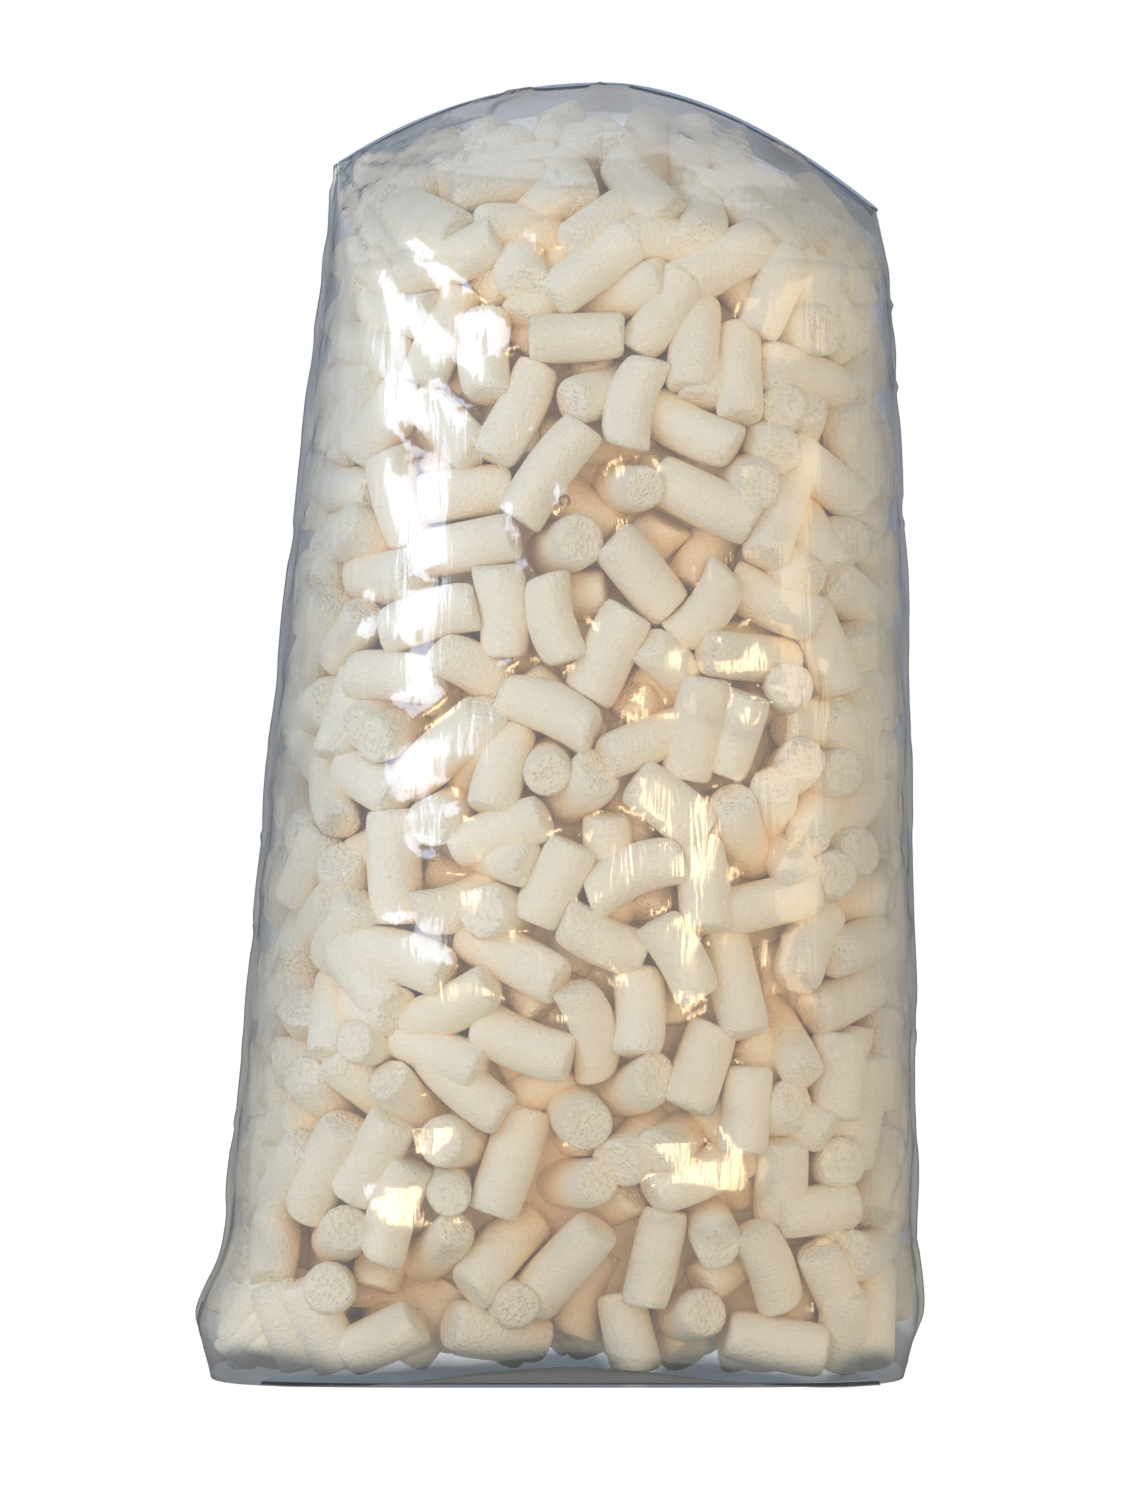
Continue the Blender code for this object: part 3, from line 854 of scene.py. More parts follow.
    def spread_out(self, rod: Rod) -> Rod:
        """Moves a joined peanut out to where the film stands out, and down to the floor if it is near.

        Args:
            rod: the peanut, as it was wrapped.

        Returns:
            The moved peanut.
        """
        side, forward = self.bag.middle(rod.centre.z)
        along = max(-1.0, min(1.0, 2 * (rod.centre.y - forward) / self.bag.depth(rod.centre.z)))
        out = self.outside(rod.centre)[1]
        centre = rod.centre + out * max(0.0, self.bag.stand_out(rod.centre, along) - self.film_play)
        drop = abs(rod.way.z) * rod.length / 2 + rod.radius * math.sqrt(max(0.0, 1 - rod.way.z**2))
        lowest = centre.z - drop
        if lowest < self.floor_reach:
            centre.z -= lowest - 2 * self.bag.film
        return Rod(centre, rod.way, rod.length, rod.radius)

    def in_creases(self) -> list[Rod]:
        """Stands peanuts in both side creases, where the film comes to a ridge.

        Returns:
            The peanuts, from the left crease's lowest to the right one's highest.
        """
        row = self.crease_row
        rng = random.Random(row.seed)
        rods = []
        for side in (-1, 1):
            height = row.lowest
            while height < self.bag.shoulder_height - row.end_room:
                radius = row.radius + rng.uniform(-row.radius_spread, row.radius_spread)
                length = row.length + rng.uniform(*row.length_spread)
                ends = []
                for z in (height, height + length):
                    play = rng.uniform(-1, 1) * row.play
                    x, y = self.bag.middle(z)
                    reach = self.bag.width(z) / 2 - radius + row.reach - row.slope * abs(play)
                    ends.append(Vector((x + side * reach, y + play, z)))
                low, high = ends
                rods.append(Rod((low + high) / 2, (high - low).normalized(), length, radius))
                height += length + rng.uniform(*row.gap)
        return rods

    def separate(self, sheet: FlatSheet) -> list[int]:
        """Finds which outer peanuts are nodes of their own.

        Args:
            sheet: the flat sheet that the outer peanuts come from.

        Returns:
            Their numbers, from the highest to the lowest.
        """
        chosen: list[int] = []
        for index, (around, up) in enumerate(sheet.places / (sheet.around, sheet.up)):
            in_front = self.front_start < around % 1.0 or around % 1.0 < self.front_end
            fits = in_front and up <= self.single_highest and abs(sheet.leans[index]) <= self.single_lean
            if len(chosen) == self.single_count or not fits:
                continue
            if not chosen or self.has_room(sheet, index, chosen):
                chosen.append(index)
        return sorted(chosen, key=lambda index: -sheet.places[index][1])

    def has_room(self, sheet: FlatSheet, index: int, chosen: list[int]) -> bool:
        """Tells whether a peanut stands clear of the chosen ones, on the flat film and in the bag.

        Args:
            sheet: the flat sheet that the peanuts come from.
            index: the peanut's number.
            chosen: the numbers of the chosen ones.

        Returns:
            Whether it does.
        """
        others, here = np.array(chosen), np.full(len(chosen), index)
        halves = sheet.halves + sheet.radii * (1 - math.sqrt(0.5))
        between = sheet.steps(sheet.places, here, others)
        _, _, step = closest(between, sheet.ways[here], sheet.ways[others], halves[here], halves[others])
        room = distances(step) - sheet.radii[here] - sheet.radii[others]
        if room.min() < self.single_room:
            return False
        centres, ways, lengths, radii = measures(self.outer[i] for i in [index, *chosen])
        way, half = np.repeat(ways[:1], len(chosen), axis=0), np.full(len(chosen), lengths[0] / 2)
        _, _, step = closest(centres[:1] - centres[1:], way, ways[1:], half, lengths[1:] / 2)
        return bool((distances(step) - radii[0] - radii[1:]).min() >= self.bag.gap)

    def shift_to_model(self) -> Vector:
        """Finds the step from the bag's own middle to the model's, from the boxes of the separate peanuts.

        Returns:
            The step, which is level.
        """
        steps = []
        for number, index in enumerate(self.singles, 1):
            low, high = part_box(f"peanut_{number:02d}")
            steps.append((Vector(low) + Vector(high)) / 2 - self.outer[index].centre)
        shift = sum(steps, Vector()) / len(steps)
        worst = max((step - shift).length for step in steps)
        LOG.info("the separate peanuts lie within %.2f mm of their solids", worst * 1000)
        return Vector((shift.x, shift.y, 0.0))

    def settled(self, loose: list[Rod], still: list[Rod], cover: float) -> list[Rod]:
        """Presses loose peanuts out between the still ones, and pushes them off those and off each other.

        Args:
            loose: the peanuts of a layer behind.
            still: the peanuts that already have their place.
            cover: how far behind the film the loose ones stay.

        Returns:
            The same peanuts, moved and turned.
        """
        centres, ways, lengths, radii = measures([*still, *loose])
        halves = lengths / 2 - radii * self.soft_end
        free = np.arange(len(radii)) >= len(still)
        for turn in range(self.settling_rounds):
            if turn % self.rounds_per_look == 0:
                first, second = np.triu_indices(len(radii), 1)
                keep = free[second]
                first, second = first[keep], second[keep]
                near = ((centres[first] - centres[second]) ** 2).sum(1) < self.touching_reach**2
                first, second = first[near], second[near]
                found = [self.outside(Vector(centre)) for centre in centres[free]]
                room = np.array([-depth for depth, _ in found]) - radii[free] - cover
                outward = np.array([out for _, out in found])
            between = centres[first] - centres[second]
            _, t, step = closest(between, ways[first], ways[second], halves[first], halves[second])
            distance = distances(step) + TINY
            over = np.maximum(radii[first] + radii[second] - distance, 0.0)
            push = step * (self.settling_push * over / distance)[:, None]
            moves, swings = np.zeros_like(centres), np.zeros_like(ways)
            np.add.at(moves, first, push)
            np.add.at(moves, second, -push)
            np.add.at(swings, second, -push * (t / (halves[second] ** 2 + radii[second] ** 2))[:, None])
            centres[free] += moves[free] + outward * np.clip(room, -self.press, self.press)[:, None]
            ways[free] += swings[free]
            ways /= distances(ways)[:, None]
            centres[:, 2] = np.maximum(centres[:, 2], radii + self.bag.film)
            centres, ways = centres.round(7), ways.round(6)
        moved = [
            Rod(Vector(centre), Vector(way), rod.length, rod.radius)
            for centre, way, rod in zip(centres[free], ways[free], loose)
        ]
        return [self.drawn_in(rod) for rod in moved]


class Bend(Enum):
    """How far a peanut's middle bows out, in metres, at least and at most."""

    STRAIGHT = (0.0, 0.0005)
    BOWED = (0.0012, 0.0024)
    ELBOW = (0.0028, 0.0040)


@dataclass
class Peanut:
    """One extruded starch peanut: soft-rimmed, straight or bent, with crumbly cut ends."""

    rod: Rod
    out: Vector
    rng: random.Random
    sides: int = 8
    rim: float = 0.0036
    rim_share: float = 0.90  # of the radius that is left where a cut end starts
    inset_share: float = 0.30  # of the radius, for the ring inside a cut end
    cage_growth: float = 1.075  # how much wider a cage is than its subdivided form
    bend_weights: tuple[int, ...] = (5, 4, 2)  # of straight, bowed and elbow
    most_taper: float = 0.05
    most_slant: float = 0.10  # of a cut end
    unevenness: float = 0.0008
    uneven_scale: float = 90  # bumps in a metre
    end_roughness: float = 0.0006
    end_scale: float = 900

    def cage(self) -> tuple[bpy.types.Mesh, np.ndarray]:
        """Builds the cage that Subdivision Surface rounds off.

        Returns:
            The mesh in place, and for each vertex how far it belongs to a cut end, from 0 to 1.
        """
        length, radius = self.rod.length, self.rod.radius * self.cage_growth
        mesh = bmesh.new()
        rounds = {"segments": self.sides, "radius1": radius, "radius2": radius}
        bmesh.ops.create_cone(mesh, cap_ends=True, depth=length, **rounds)
        sides = [edge for edge in mesh.edges if abs(edge.verts[0].co.z - edge.verts[1].co.z) > length / 2]
        bmesh.ops.subdivide_edges(mesh, edges=sides, cuts=3, use_grid_fill=True)
        for vert in mesh.verts:
            if 0.1 * length < abs(vert.co.z) < 0.4 * length:
                vert.co.z = math.copysign(length / 2 - self.rim, vert.co.z)
        caps = [face for face in mesh.faces if abs(face.normal.z) > 0.9]
        rims = list({vert for face in caps for vert in face.verts})
        bmesh.ops.scale(mesh, vec=(self.rim_share, self.rim_share, 1.0), verts=rims)
        bmesh.ops.inset_region(mesh, faces=caps, thickness=radius * self.inset_share, use_even_offset=True)
        cut = np.array([float(abs(vert.co.z) > length / 2 - 1e-5) for vert in mesh.verts])
        self.shape(mesh)
        return to_mesh(mesh, "peanut_cage"), cut

    def shape(self, mesh: bmesh.types.BMesh) -> None:
        """Bends, roughens and places the cage.

        Args:
            mesh: the straight cage, upright at the origin, which is changed.
        """
        rng = self.rng
        bend = rng.choices(list(Bend), weights=self.bend_weights)[0]
        bow = rng.uniform(*bend.value) * rng.choice((-1, 1))
        taper = rng.uniform(-self.most_taper, self.most_taper)
        slant = [rng.uniform(-self.most_slant, self.most_slant) for _ in range(2)]
        seed = Vector([rng.uniform(0, 90) for _ in range(3)])
        roll = Matrix.Rotation(rng.uniform(0, 2 * math.pi), 3, "Z")
        half = self.rod.length / 2
        for vert in mesh.verts:
            point = roll @ vert.co
            share = point.z / half
            point.x *= 1 + taper * share
            point.y *= 1 + taper * share
            if abs(share) > 0.98:
                point.z += slant[0] * point.x + slant[1] * point.y
                crumble = 0.5 + noise.noise(point * self.end_scale + seed)
                point.z -= self.end_roughness * crumble * math.copysign(1, share)
            point += noise.noise_vector(point * self.uneven_scale + seed) * self.unevenness
            point.x += bow * (0.5 - share**2) * 1.3
            vert.co = point
        along = self.rod.way
        out = self.out - along * self.out.dot(along)
        out = out.normalized() if out.length > 0.15 else along.orthogonal().normalized()
        side = out.cross(along)
        frame = Matrix((side, out, along)).transposed().to_4x4()
        bmesh.ops.transform(mesh, matrix=Matrix.Translation(self.rod.centre) @ frame, verts=mesh.verts[:])


@dataclass
class Peanuts:
    """All the peanuts as pieces: one for each separate node, and groups in place of the joined heap."""

    filling: Filling
    finish: bpy.types.Material
    first_behind: int = 1000  # where the numbers of the peanuts behind start
    first_seed: int = 1000
    core_inset: float = 0.026
    core_faces: tuple[int, int] = (36, 24)  # round it and up it
    core_tone: float = 0.5
    # the core counts as lying this deep, so it gets the full painted crevice shade
    core_depth: float = 0.03
    cages: list[bpy.types.Mesh] = field(default_factory=list)

    def build(self) -> list[bpy.types.Object]:
        """Builds and dresses every peanut piece.

        Returns:
            The pieces: one for each separate peanut, four groups of joined ones, and the core.
        """
        filling = self.filling
        pieces = []
        for number, index in enumerate(filling.singles, 1):
            name = f"peanut_{number:02d}"
            pieces.append(self.group(f"foam_{name}", [(filling.outer[index], index)], name))
        front, back = [], []
        for index, rod in enumerate(filling.outer):
            if index not in filling.singles:
                in_front = rod.centre.y < filling.bag.middle(rod.centre.z)[1]
                (front if in_front else back).append((rod, index))
        behind = [(rod, self.first_behind + i) for i, rod in enumerate(filling.inner)]
        half = len(behind) // 2
        groups = {"front": front, "back": back, "behind_1": behind[:half], "behind_2": behind[half:]}
        pieces += [self.group(f"heap_{name}", rods, "peanut_heap") for name, rods in groups.items()]
        return [*pieces, self.core()]

    def group(self, name: str, rods: list[tuple[Rod, int]], node: str) -> bpy.types.Object:
        """Builds some peanuts as one piece.

        Args:
            name: the piece's name.
            rods: the peanuts, each with the number that its chance variation comes from.
            node: the CAD node that the piece replaces.

        Returns:
            The piece.
        """
        joined = bmesh.new()
        cuts, tones = [], []
        for rod, number in rods:
            rng = random.Random(self.first_seed + number)
            cage, cut = Peanut(rod, self.filling.outside(rod.centre)[1], rng).cage()
            joined.from_mesh(cage)
            self.cages.append(cage)
            cuts.append(cut)
            tones.append(np.full(len(cut), rng.random()))
        # how deep each vertex lies behind the film: the deep attribute, which the foam's painted crevice shade
        # follows
        depths = [-self.filling.outside(vert.co)[0] for vert in joined.verts]
        bmesh.ops.translate(joined, vec=self.filling.shift, verts=joined.verts[:])
        mesh = to_mesh(joined, name, cut=np.concatenate(cuts), tone=np.concatenate(tones), deep=depths)
        piece = finished_piece(mesh, self.finish, node)
        rounding = piece.modifiers.new("rounding", "SUBSURF")
        rounding.levels = rounding.render_levels = 1
        return piece

    def core(self) -> bpy.types.Object:
        """Builds the plain core that hides the unseen middle of the bag.

        Returns:
            The core's piece.
        """
        bag = self.filling.bag
        made = bag.sheet(*self.core_faces, self.core_inset, self.filling.shift, False)
        for vert in made.verts:
            vert.co.z = max(bag.film + bag.gap, vert.co.z - self.core_inset * vert.co.z / bag.crest_height)
        even = np.ones(len(made.verts))
        mesh = to_mesh(made, "heap_core", cut=0 * even, tone=self.core_tone * even, deep=self.core_depth * even)
        return finished_piece(mesh, self.finish, "peanut_heap")


@dataclass(frozen=True)
class Facet:
    """A place where the film is pulled flat over a few peanuts, as a star with drawn-out points."""

    centre: Place
    facing: Place
    radius: float
    points: int = 5
    most: float = 0.0030  # that it stands out
    body: float = 0.78  # of the radius, between the points
    point: float = 0.30  # of the radius, that the points add
    border: float = 0.30  # of the radius, over which it fades

    def offset(self, point: Vector, normal: Vector, room: float) -> float:
        """Gives how far the film moves out along its normal at a point.

        Args:
            point: a point of the film, in the bag's own place.
            normal: the film's normal there.
            room: how far the film may move in.

        Returns:
            The distance, less than 0 inwards.
        """
        facing = Vector(self.facing).normalized()
        away = point - Vector(self.centre)
        if point.y > 0 or away.length > 1.6 * self.radius:
            return 0.0
        turn = math.atan2(away.z, away.x)
        star = abs(math.cos(self.points / 2 * turn + 7 * self.radius))
        reach = self.radius * (self.body + self.point * star)
        inside = max(0.0, min(1.0, (reach - away.length) / (self.border * self.radius)))
        step = -away.dot(facing) / max(0.5, normal.dot(facing))
        return max(-0.8 * room, min(self.most, step)) * inside * inside * (3 - 2 * inside)


@dataclass
class FilmSkin:
    """The clear film, wrinkled and drawn in over the peanuts."""

    filling: Filling
    cages: list[bpy.types.Mesh]
    columns: int = 216
    rows: int = 200
    clearance: float = 0.0004
    ray_start: float = 0.004  # outside the film
    ray_length: float = 0.020
    deepest_dip: float = 0.0013
    dip_share: float = 0.85  # of the room behind the film
    side_hold: float = 0.9  # the share of a dip that the creased sides don't follow
    painted_dark_floor_gain: float = 2.4
    painted_dark_crest_reach: float = 0.010  # under the crest, where the painted dark backdrop shows in full
    painted_dark_fade: float = 0.030
    smoothing_rounds: int = 5
    dip_hold: float = 0.4  # the share of its own dip that a vertex keeps in a round
    painted_dark_hold: float = 0.5
    striation_height: float = 0.00022
    striation_pitch: float = 0.0038
    striation_length: float = 0.045
    ray_count: float = 6.5  # of rays in a radian
    ray_height: float = 0.0017
    facets: tuple[Facet, ...] = (
        Facet((0.044, -0.0745, 0.073), (0.107, -0.991, 0.076), 0.024),
        Facet((-0.056, -0.0710, 0.054), (-0.120, -0.985, 0.050), 0.021),
        Facet((-0.046, -0.0750, 0.085), (-0.110, -0.988, 0.050), 0.013),
        Facet((0.056, -0.0735, 0.235), (0.100, -0.994, -0.030), 0.019),
    )

    def peanut_tree(self) -> BVHTree:
        """Joins all the peanuts into one tree for rays and distances.

        Returns:
            The tree, in the bag's own place.
        """
        joined = bmesh.new()
        for cage in self.cages:
            joined.from_mesh(cage)
            bpy.data.meshes.remove(cage)
        tree = BVHTree.FromBMesh(joined)
        joined.free()
        return tree

    def painted_dark_backdrop(self, point: Vector, normal: Vector) -> float:
        """Gives where the film's painted dark backdrop shows: at the sides, by the floor and at the crest.

        Args:
            point: a point of the film.
            normal: the film's normal there.

        Returns:
            A share, which may pass 1 by the floor.
        """
        bag = self.filling.bag
        under = bag.crest(point.x - self.filling.shift.x - bag.middle(point.z)[0]) - point.z
        by_floor = self.painted_dark_floor_gain * (1 - point.z / bag.ear_height)
        at_crest = min(1.0, max(0.0, 1 - (under - self.painted_dark_crest_reach) / self.painted_dark_fade))
        return max(abs(normal.x) ** 4, by_floor, at_crest)

    def smoothed(self, values: list[float], own: float, neighbours: list[list[int]]) -> list[float]:
        """Evens out one value of each vertex with those of its neighbours.

        Args:
            values: the values.
            own: the share that a vertex keeps of its own.
            neighbours: the numbers of each vertex's neighbours.

        Returns:
            The new values.
        """
        for _ in range(self.smoothing_rounds):
            means = [sum(values[i] for i in near) for near in neighbours]
            rows = zip(values, means, neighbours)
            values = [own * value + (1 - own) * total / len(near) for value, total, near in rows]
        return values

    def build(self, finish: bpy.types.Material) -> bpy.types.Object:
        """Builds and dresses the film.

        Args:
            finish: its material.

        Returns:
            The film's piece.
        """
        bag, shift = self.filling.bag, self.filling.shift
        mesh = bag.sheet(self.columns, self.rows, 0.0, shift, True)
        mesh.normal_update()
        tree = self.peanut_tree()
        normals = [vert.normal.copy() for vert in mesh.verts]
        room, depths = [], []
        for vert, normal in zip(mesh.verts, normals):
            hit = tree.ray_cast(vert.co - shift + normal * self.ray_start, -normal, self.ray_length)
            hold = 1 - self.side_hold * abs(normal.x) ** 1.5
            room.append(max(0.0, hit[3] - self.ray_start - self.clearance) * hold if hit[0] else 0.0)
            # the distance to the nearest peanut, weighted by where the painted dark backdrop may show
            depths.append(tree.find_nearest(vert.co - shift)[3] * self.painted_dark_backdrop(vert.co, normal))
        mesh.verts.index_update()
        neighbours = [[edge.other_vert(vert).index for edge in vert.link_edges] for vert in mesh.verts]
        dips = [min(free * self.dip_share, self.deepest_dip) for free in room]
        dips = self.smoothed(dips, self.dip_hold, neighbours)
        depths = self.smoothed(depths, self.painted_dark_hold, neighbours)
        for vert, normal, dip, free in zip(mesh.verts, normals, dips, room):
            low = min(1.0, vert.co.z / bag.ear_height)
            vert.co += normal * (self.wrinkles(vert.co - shift, normal) * low - min(dip, free) * low)
            for facet in self.facets:
                vert.co += normal * facet.offset(vert.co - shift, normal, free)
        # the empty attribute carries that weighted distance, which the film's painted dark backdrop follows
        return finished_piece(to_mesh(mesh, "clear_film_bag", empty=depths), finish, "film_bag")

    def wrinkles(self, point: Vector, normal: Vector) -> float:
        """Gives how far the fine wrinkles lift the film: upright ones at the sides, rays from the left shoulder.

        Args:
            point: a point of the film, in the bag's own place.
            normal: the film's normal there.

        Returns:
            The distance in metres.
        """
        bag = self.filling.bag
        stretched = Vector(
            (point.x / self.striation_pitch, point.y / self.striation_pitch, point.z / self.striation_length)
        )
        height = self.striation_height * abs(normal.x) ** 2 * noise.noise(stretched)
        across, down = bag.from_corner(point, -0.5)
        ridge = 1 - abs(noise.noise(Vector((self.ray_count * math.atan2(across, down), 3.1, 0.0))))
        fade = math.exp(-math.hypot(across, down) / bag.gather_reach) * (1.0 if point.y < 0.02 else 0.4)
        return height + self.ray_height * ridge**6 * fade


@dataclass
class Seals:
    """The two heat seals: crimped strips along the front of the base and behind the crest."""

    filling: Filling
    width: float = 0.009
    turn_up: float = 0.0065
    turn_up_width: float = 2.6  # how many times the turned-up part goes into the bag's width
    fold: float = 0.006
    rib_pitch: float = 0.0016
    rib_height: float = 0.00035
    rib_faces: tuple[int, int] = (260, 6)  # along it and across it
    ripples: tuple[float, float] = (0.0004, 0.0008)  # of the bottom seal and of the top one
    half_length: float = 0.104
    lowest: float = 0.0012
    wall: float = 0.0003
    hang_start: float = 0.35  # of the top seal's width, from where it hangs down

    def strip(
        self, name: str, place: Callable[[float, float], Vector], finish: bpy.types.Material
    ) -> bpy.types.Object:
        """Builds a crimped strip.

        Args:
            name: the piece's name.
            place: gives the point at shares along and across the strip.
            finish: its material.

        Returns:
            The piece.
        """
        made = bmesh.new()
        columns, rows = self.rib_faces
        bmesh.ops.create_grid(made, x_segments=columns, y_segments=rows, size=0.5)
        for vert in made.verts:
            along, across = vert.co.x + 0.5, vert.co.y + 0.5
            ribs = self.rib_height * math.sin(2 * math.pi * along * 2 * self.half_length / self.rib_pitch)
            ribs *= math.sin(math.pi * min(1.0, across + 0.15)) ** 0.5
            vert.co = place(along, across) + self.filling.shift + Vector((0, ribs * 0.7, ribs))
        bmesh.ops.recalc_face_normals(made, faces=made.faces[:])
        piece = finished_piece(to_mesh(made, name), finish, "film_bag")
        wall = piece.modifiers.new("wall", "SOLIDIFY")
        wall.thickness, wall.offset = self.wall, 0.0
        return piece

    def bottom(self, along: float, across: float) -> Vector:
        """Places the bottom seal, which turns up in its middle.

        Args:
            along: the share of its length, from the left.
            across: the share of its width, from the bag outwards.

        Returns:
            The point, in the bag's own place.
        """
        bag = self.filling.bag
        side = (2 * along - 1) * self.half_length
        power = bag.base_square
        start = -bag.base_depth / 2 * (1 - abs(2 * side / bag.base_width) ** power) ** (1 / power)
        lift = self.turn_up * max(0.0, 1 - (self.turn_up_width * side / bag.base_width) ** 2) ** 3
        ripple = self.ripples[0] * noise.noise(Vector((side * 60, 1.7, 0)))
        return Vector((side, start - self.width * across, self.lowest + lift * across**1.4 + ripple * across))

    def top(self, along: float, across: float) -> Vector:
        """Places the top seal, which runs back from the crest and hangs down.

        Args:
            along: the share of its length, from the left.
            across: the share of its width, from the crest.

        Returns:
            The point, in the bag's own place.
        """
        bag = self.filling.bag
        side = (2 * along - 1) * bag.crest_width / 2 * 0.995
        middle = bag.middle(bag.shoulder_height)[0]
        back = min(1.0, across / self.hang_start)
        hang = max(0.0, (across - self.hang_start) / (1 - self.hang_start))
        ripple = self.ripples[1] * noise.noise(Vector((side * 45, 5.2, 0))) * hang
        y = self.fold * back + self.width / 2 * hang + ripple
        z = bag.crest(side) - self.fold / 4 * back - self.width * 0.8 * hang
        return Vector((middle + side, y, z - self.wall))

    def build(self, crimped: bpy.types.Material, folded: bpy.types.Material) -> list[bpy.types.Object]:
        """Builds the crimped seal at the bottom and the folded one at the top, each with its material."""
        return [self.strip("bottom_seal", self.bottom, crimped), self.strip("top_seal", self.top, folded)]


@dataclass(frozen=True)
class StarchFoam:
    """Extruded starch foam: matt and fine-celled, crumbly where it is cut, with a painted warm shade deep in the
    heap that stands in for the shade and translucent glow between the peanuts.
    """

    skin: str = "#FBF3E0"
    shade: str = "#F2E6CC"
    # painted shade: a warm tint deep in the heap, standing in for the shade and translucent glow between the
    # peanuts
    painted_crevice_shade: str = "#FFE2B6"
    painted_shade_depths: tuple[float, float] = (0.004, 0.017)  # behind the film, where it starts and is full
    blotch: float = 0.009
    cell: float = 0.0013  # twice as coarse as real, to show at all
    pore: float = 0.0015
    pore_edge: float = 0.55  # of a pore's size
    crumb_share: float = 0.65  # of the relief of a cut end
    relief: float = 0.0011
    relief_strength: float = 0.8
    roughness: float = 0.9
    ior: float = 1.45
    specular: float = 0.25

    def material(self) -> bpy.types.Material:
        """Makes the material, for pieces with the attributes tone, cut and deep.

        Returns:
            The material.
        """
        made, node = new_material("starch_foam_extruded")
        place = node("ShaderNodeTexCoord")["Object"]
        names = ("tone", "cut", "deep")
        tone, cut, deep = (node("ShaderNodeAttribute", attribute_name=name)["Fac"] for name in names)
        blotches, cells = (
            node("ShaderNodeTexNoise", {"Vector": place, "Scale": 1 / size, "Detail": detail})["Fac"]
            for size, detail in ((self.blotch, 3.0), (self.cell, 2.0))
        )
        pores = node("ShaderNodeTexVoronoi", {"Vector": place, "Scale": 1 / self.pore}, feature="F1")["Distance"]
        mottle = node("ShaderNodeMath", {0: blotches, 1: tone}, operation="MULTIPLY")[0]
        skin, shade, painted_crevice_shade = linear(self.skin), linear(self.shade), linear(self.painted_crevice_shade)
        body = node("ShaderNodeMix", {0: mottle, 6: skin, 7: shade}, data_type="RGBA")[2]
        start, full = self.painted_shade_depths
        # painted shade: the warm crevice tint grows with depth behind the film, in place of real shade and
        # translucent glow
        depth = {"Value": deep, "From Min": start, "From Max": full}
        painted_shade_share = node("ShaderNodeMapRange", depth, interpolation_type="SMOOTHSTEP")[0]
        colour = node("ShaderNodeMix", {0: painted_shade_share, 6: body, 7: painted_crevice_shade}, data_type="RGBA")[2]
        pits = node("ShaderNodeMapRange", {"Value": pores, "From Max": self.pore_edge})[0]
        crumbs = node("ShaderNodeMath", {0: pits, 1: cut}, operation="MULTIPLY")[0]
        grain = node("ShaderNodeMath", {0: crumbs, 1: self.crumb_share, 2: cells}, operation="MULTIPLY_ADD")[0]
        relief = {"Height": grain, "Strength": self.relief_strength, "Distance": self.relief}
        look = {
            "Base Color": colour,
            "Normal": node("ShaderNodeBump", relief)[0],
            "Roughness": self.roughness,
            "IOR": self.ior,
            "Specular IOR Level": self.specular,
        }
        node("ShaderNodeOutputMaterial", {"Surface": node("ShaderNodeBsdfPrincipled", look)[0]})
        return made


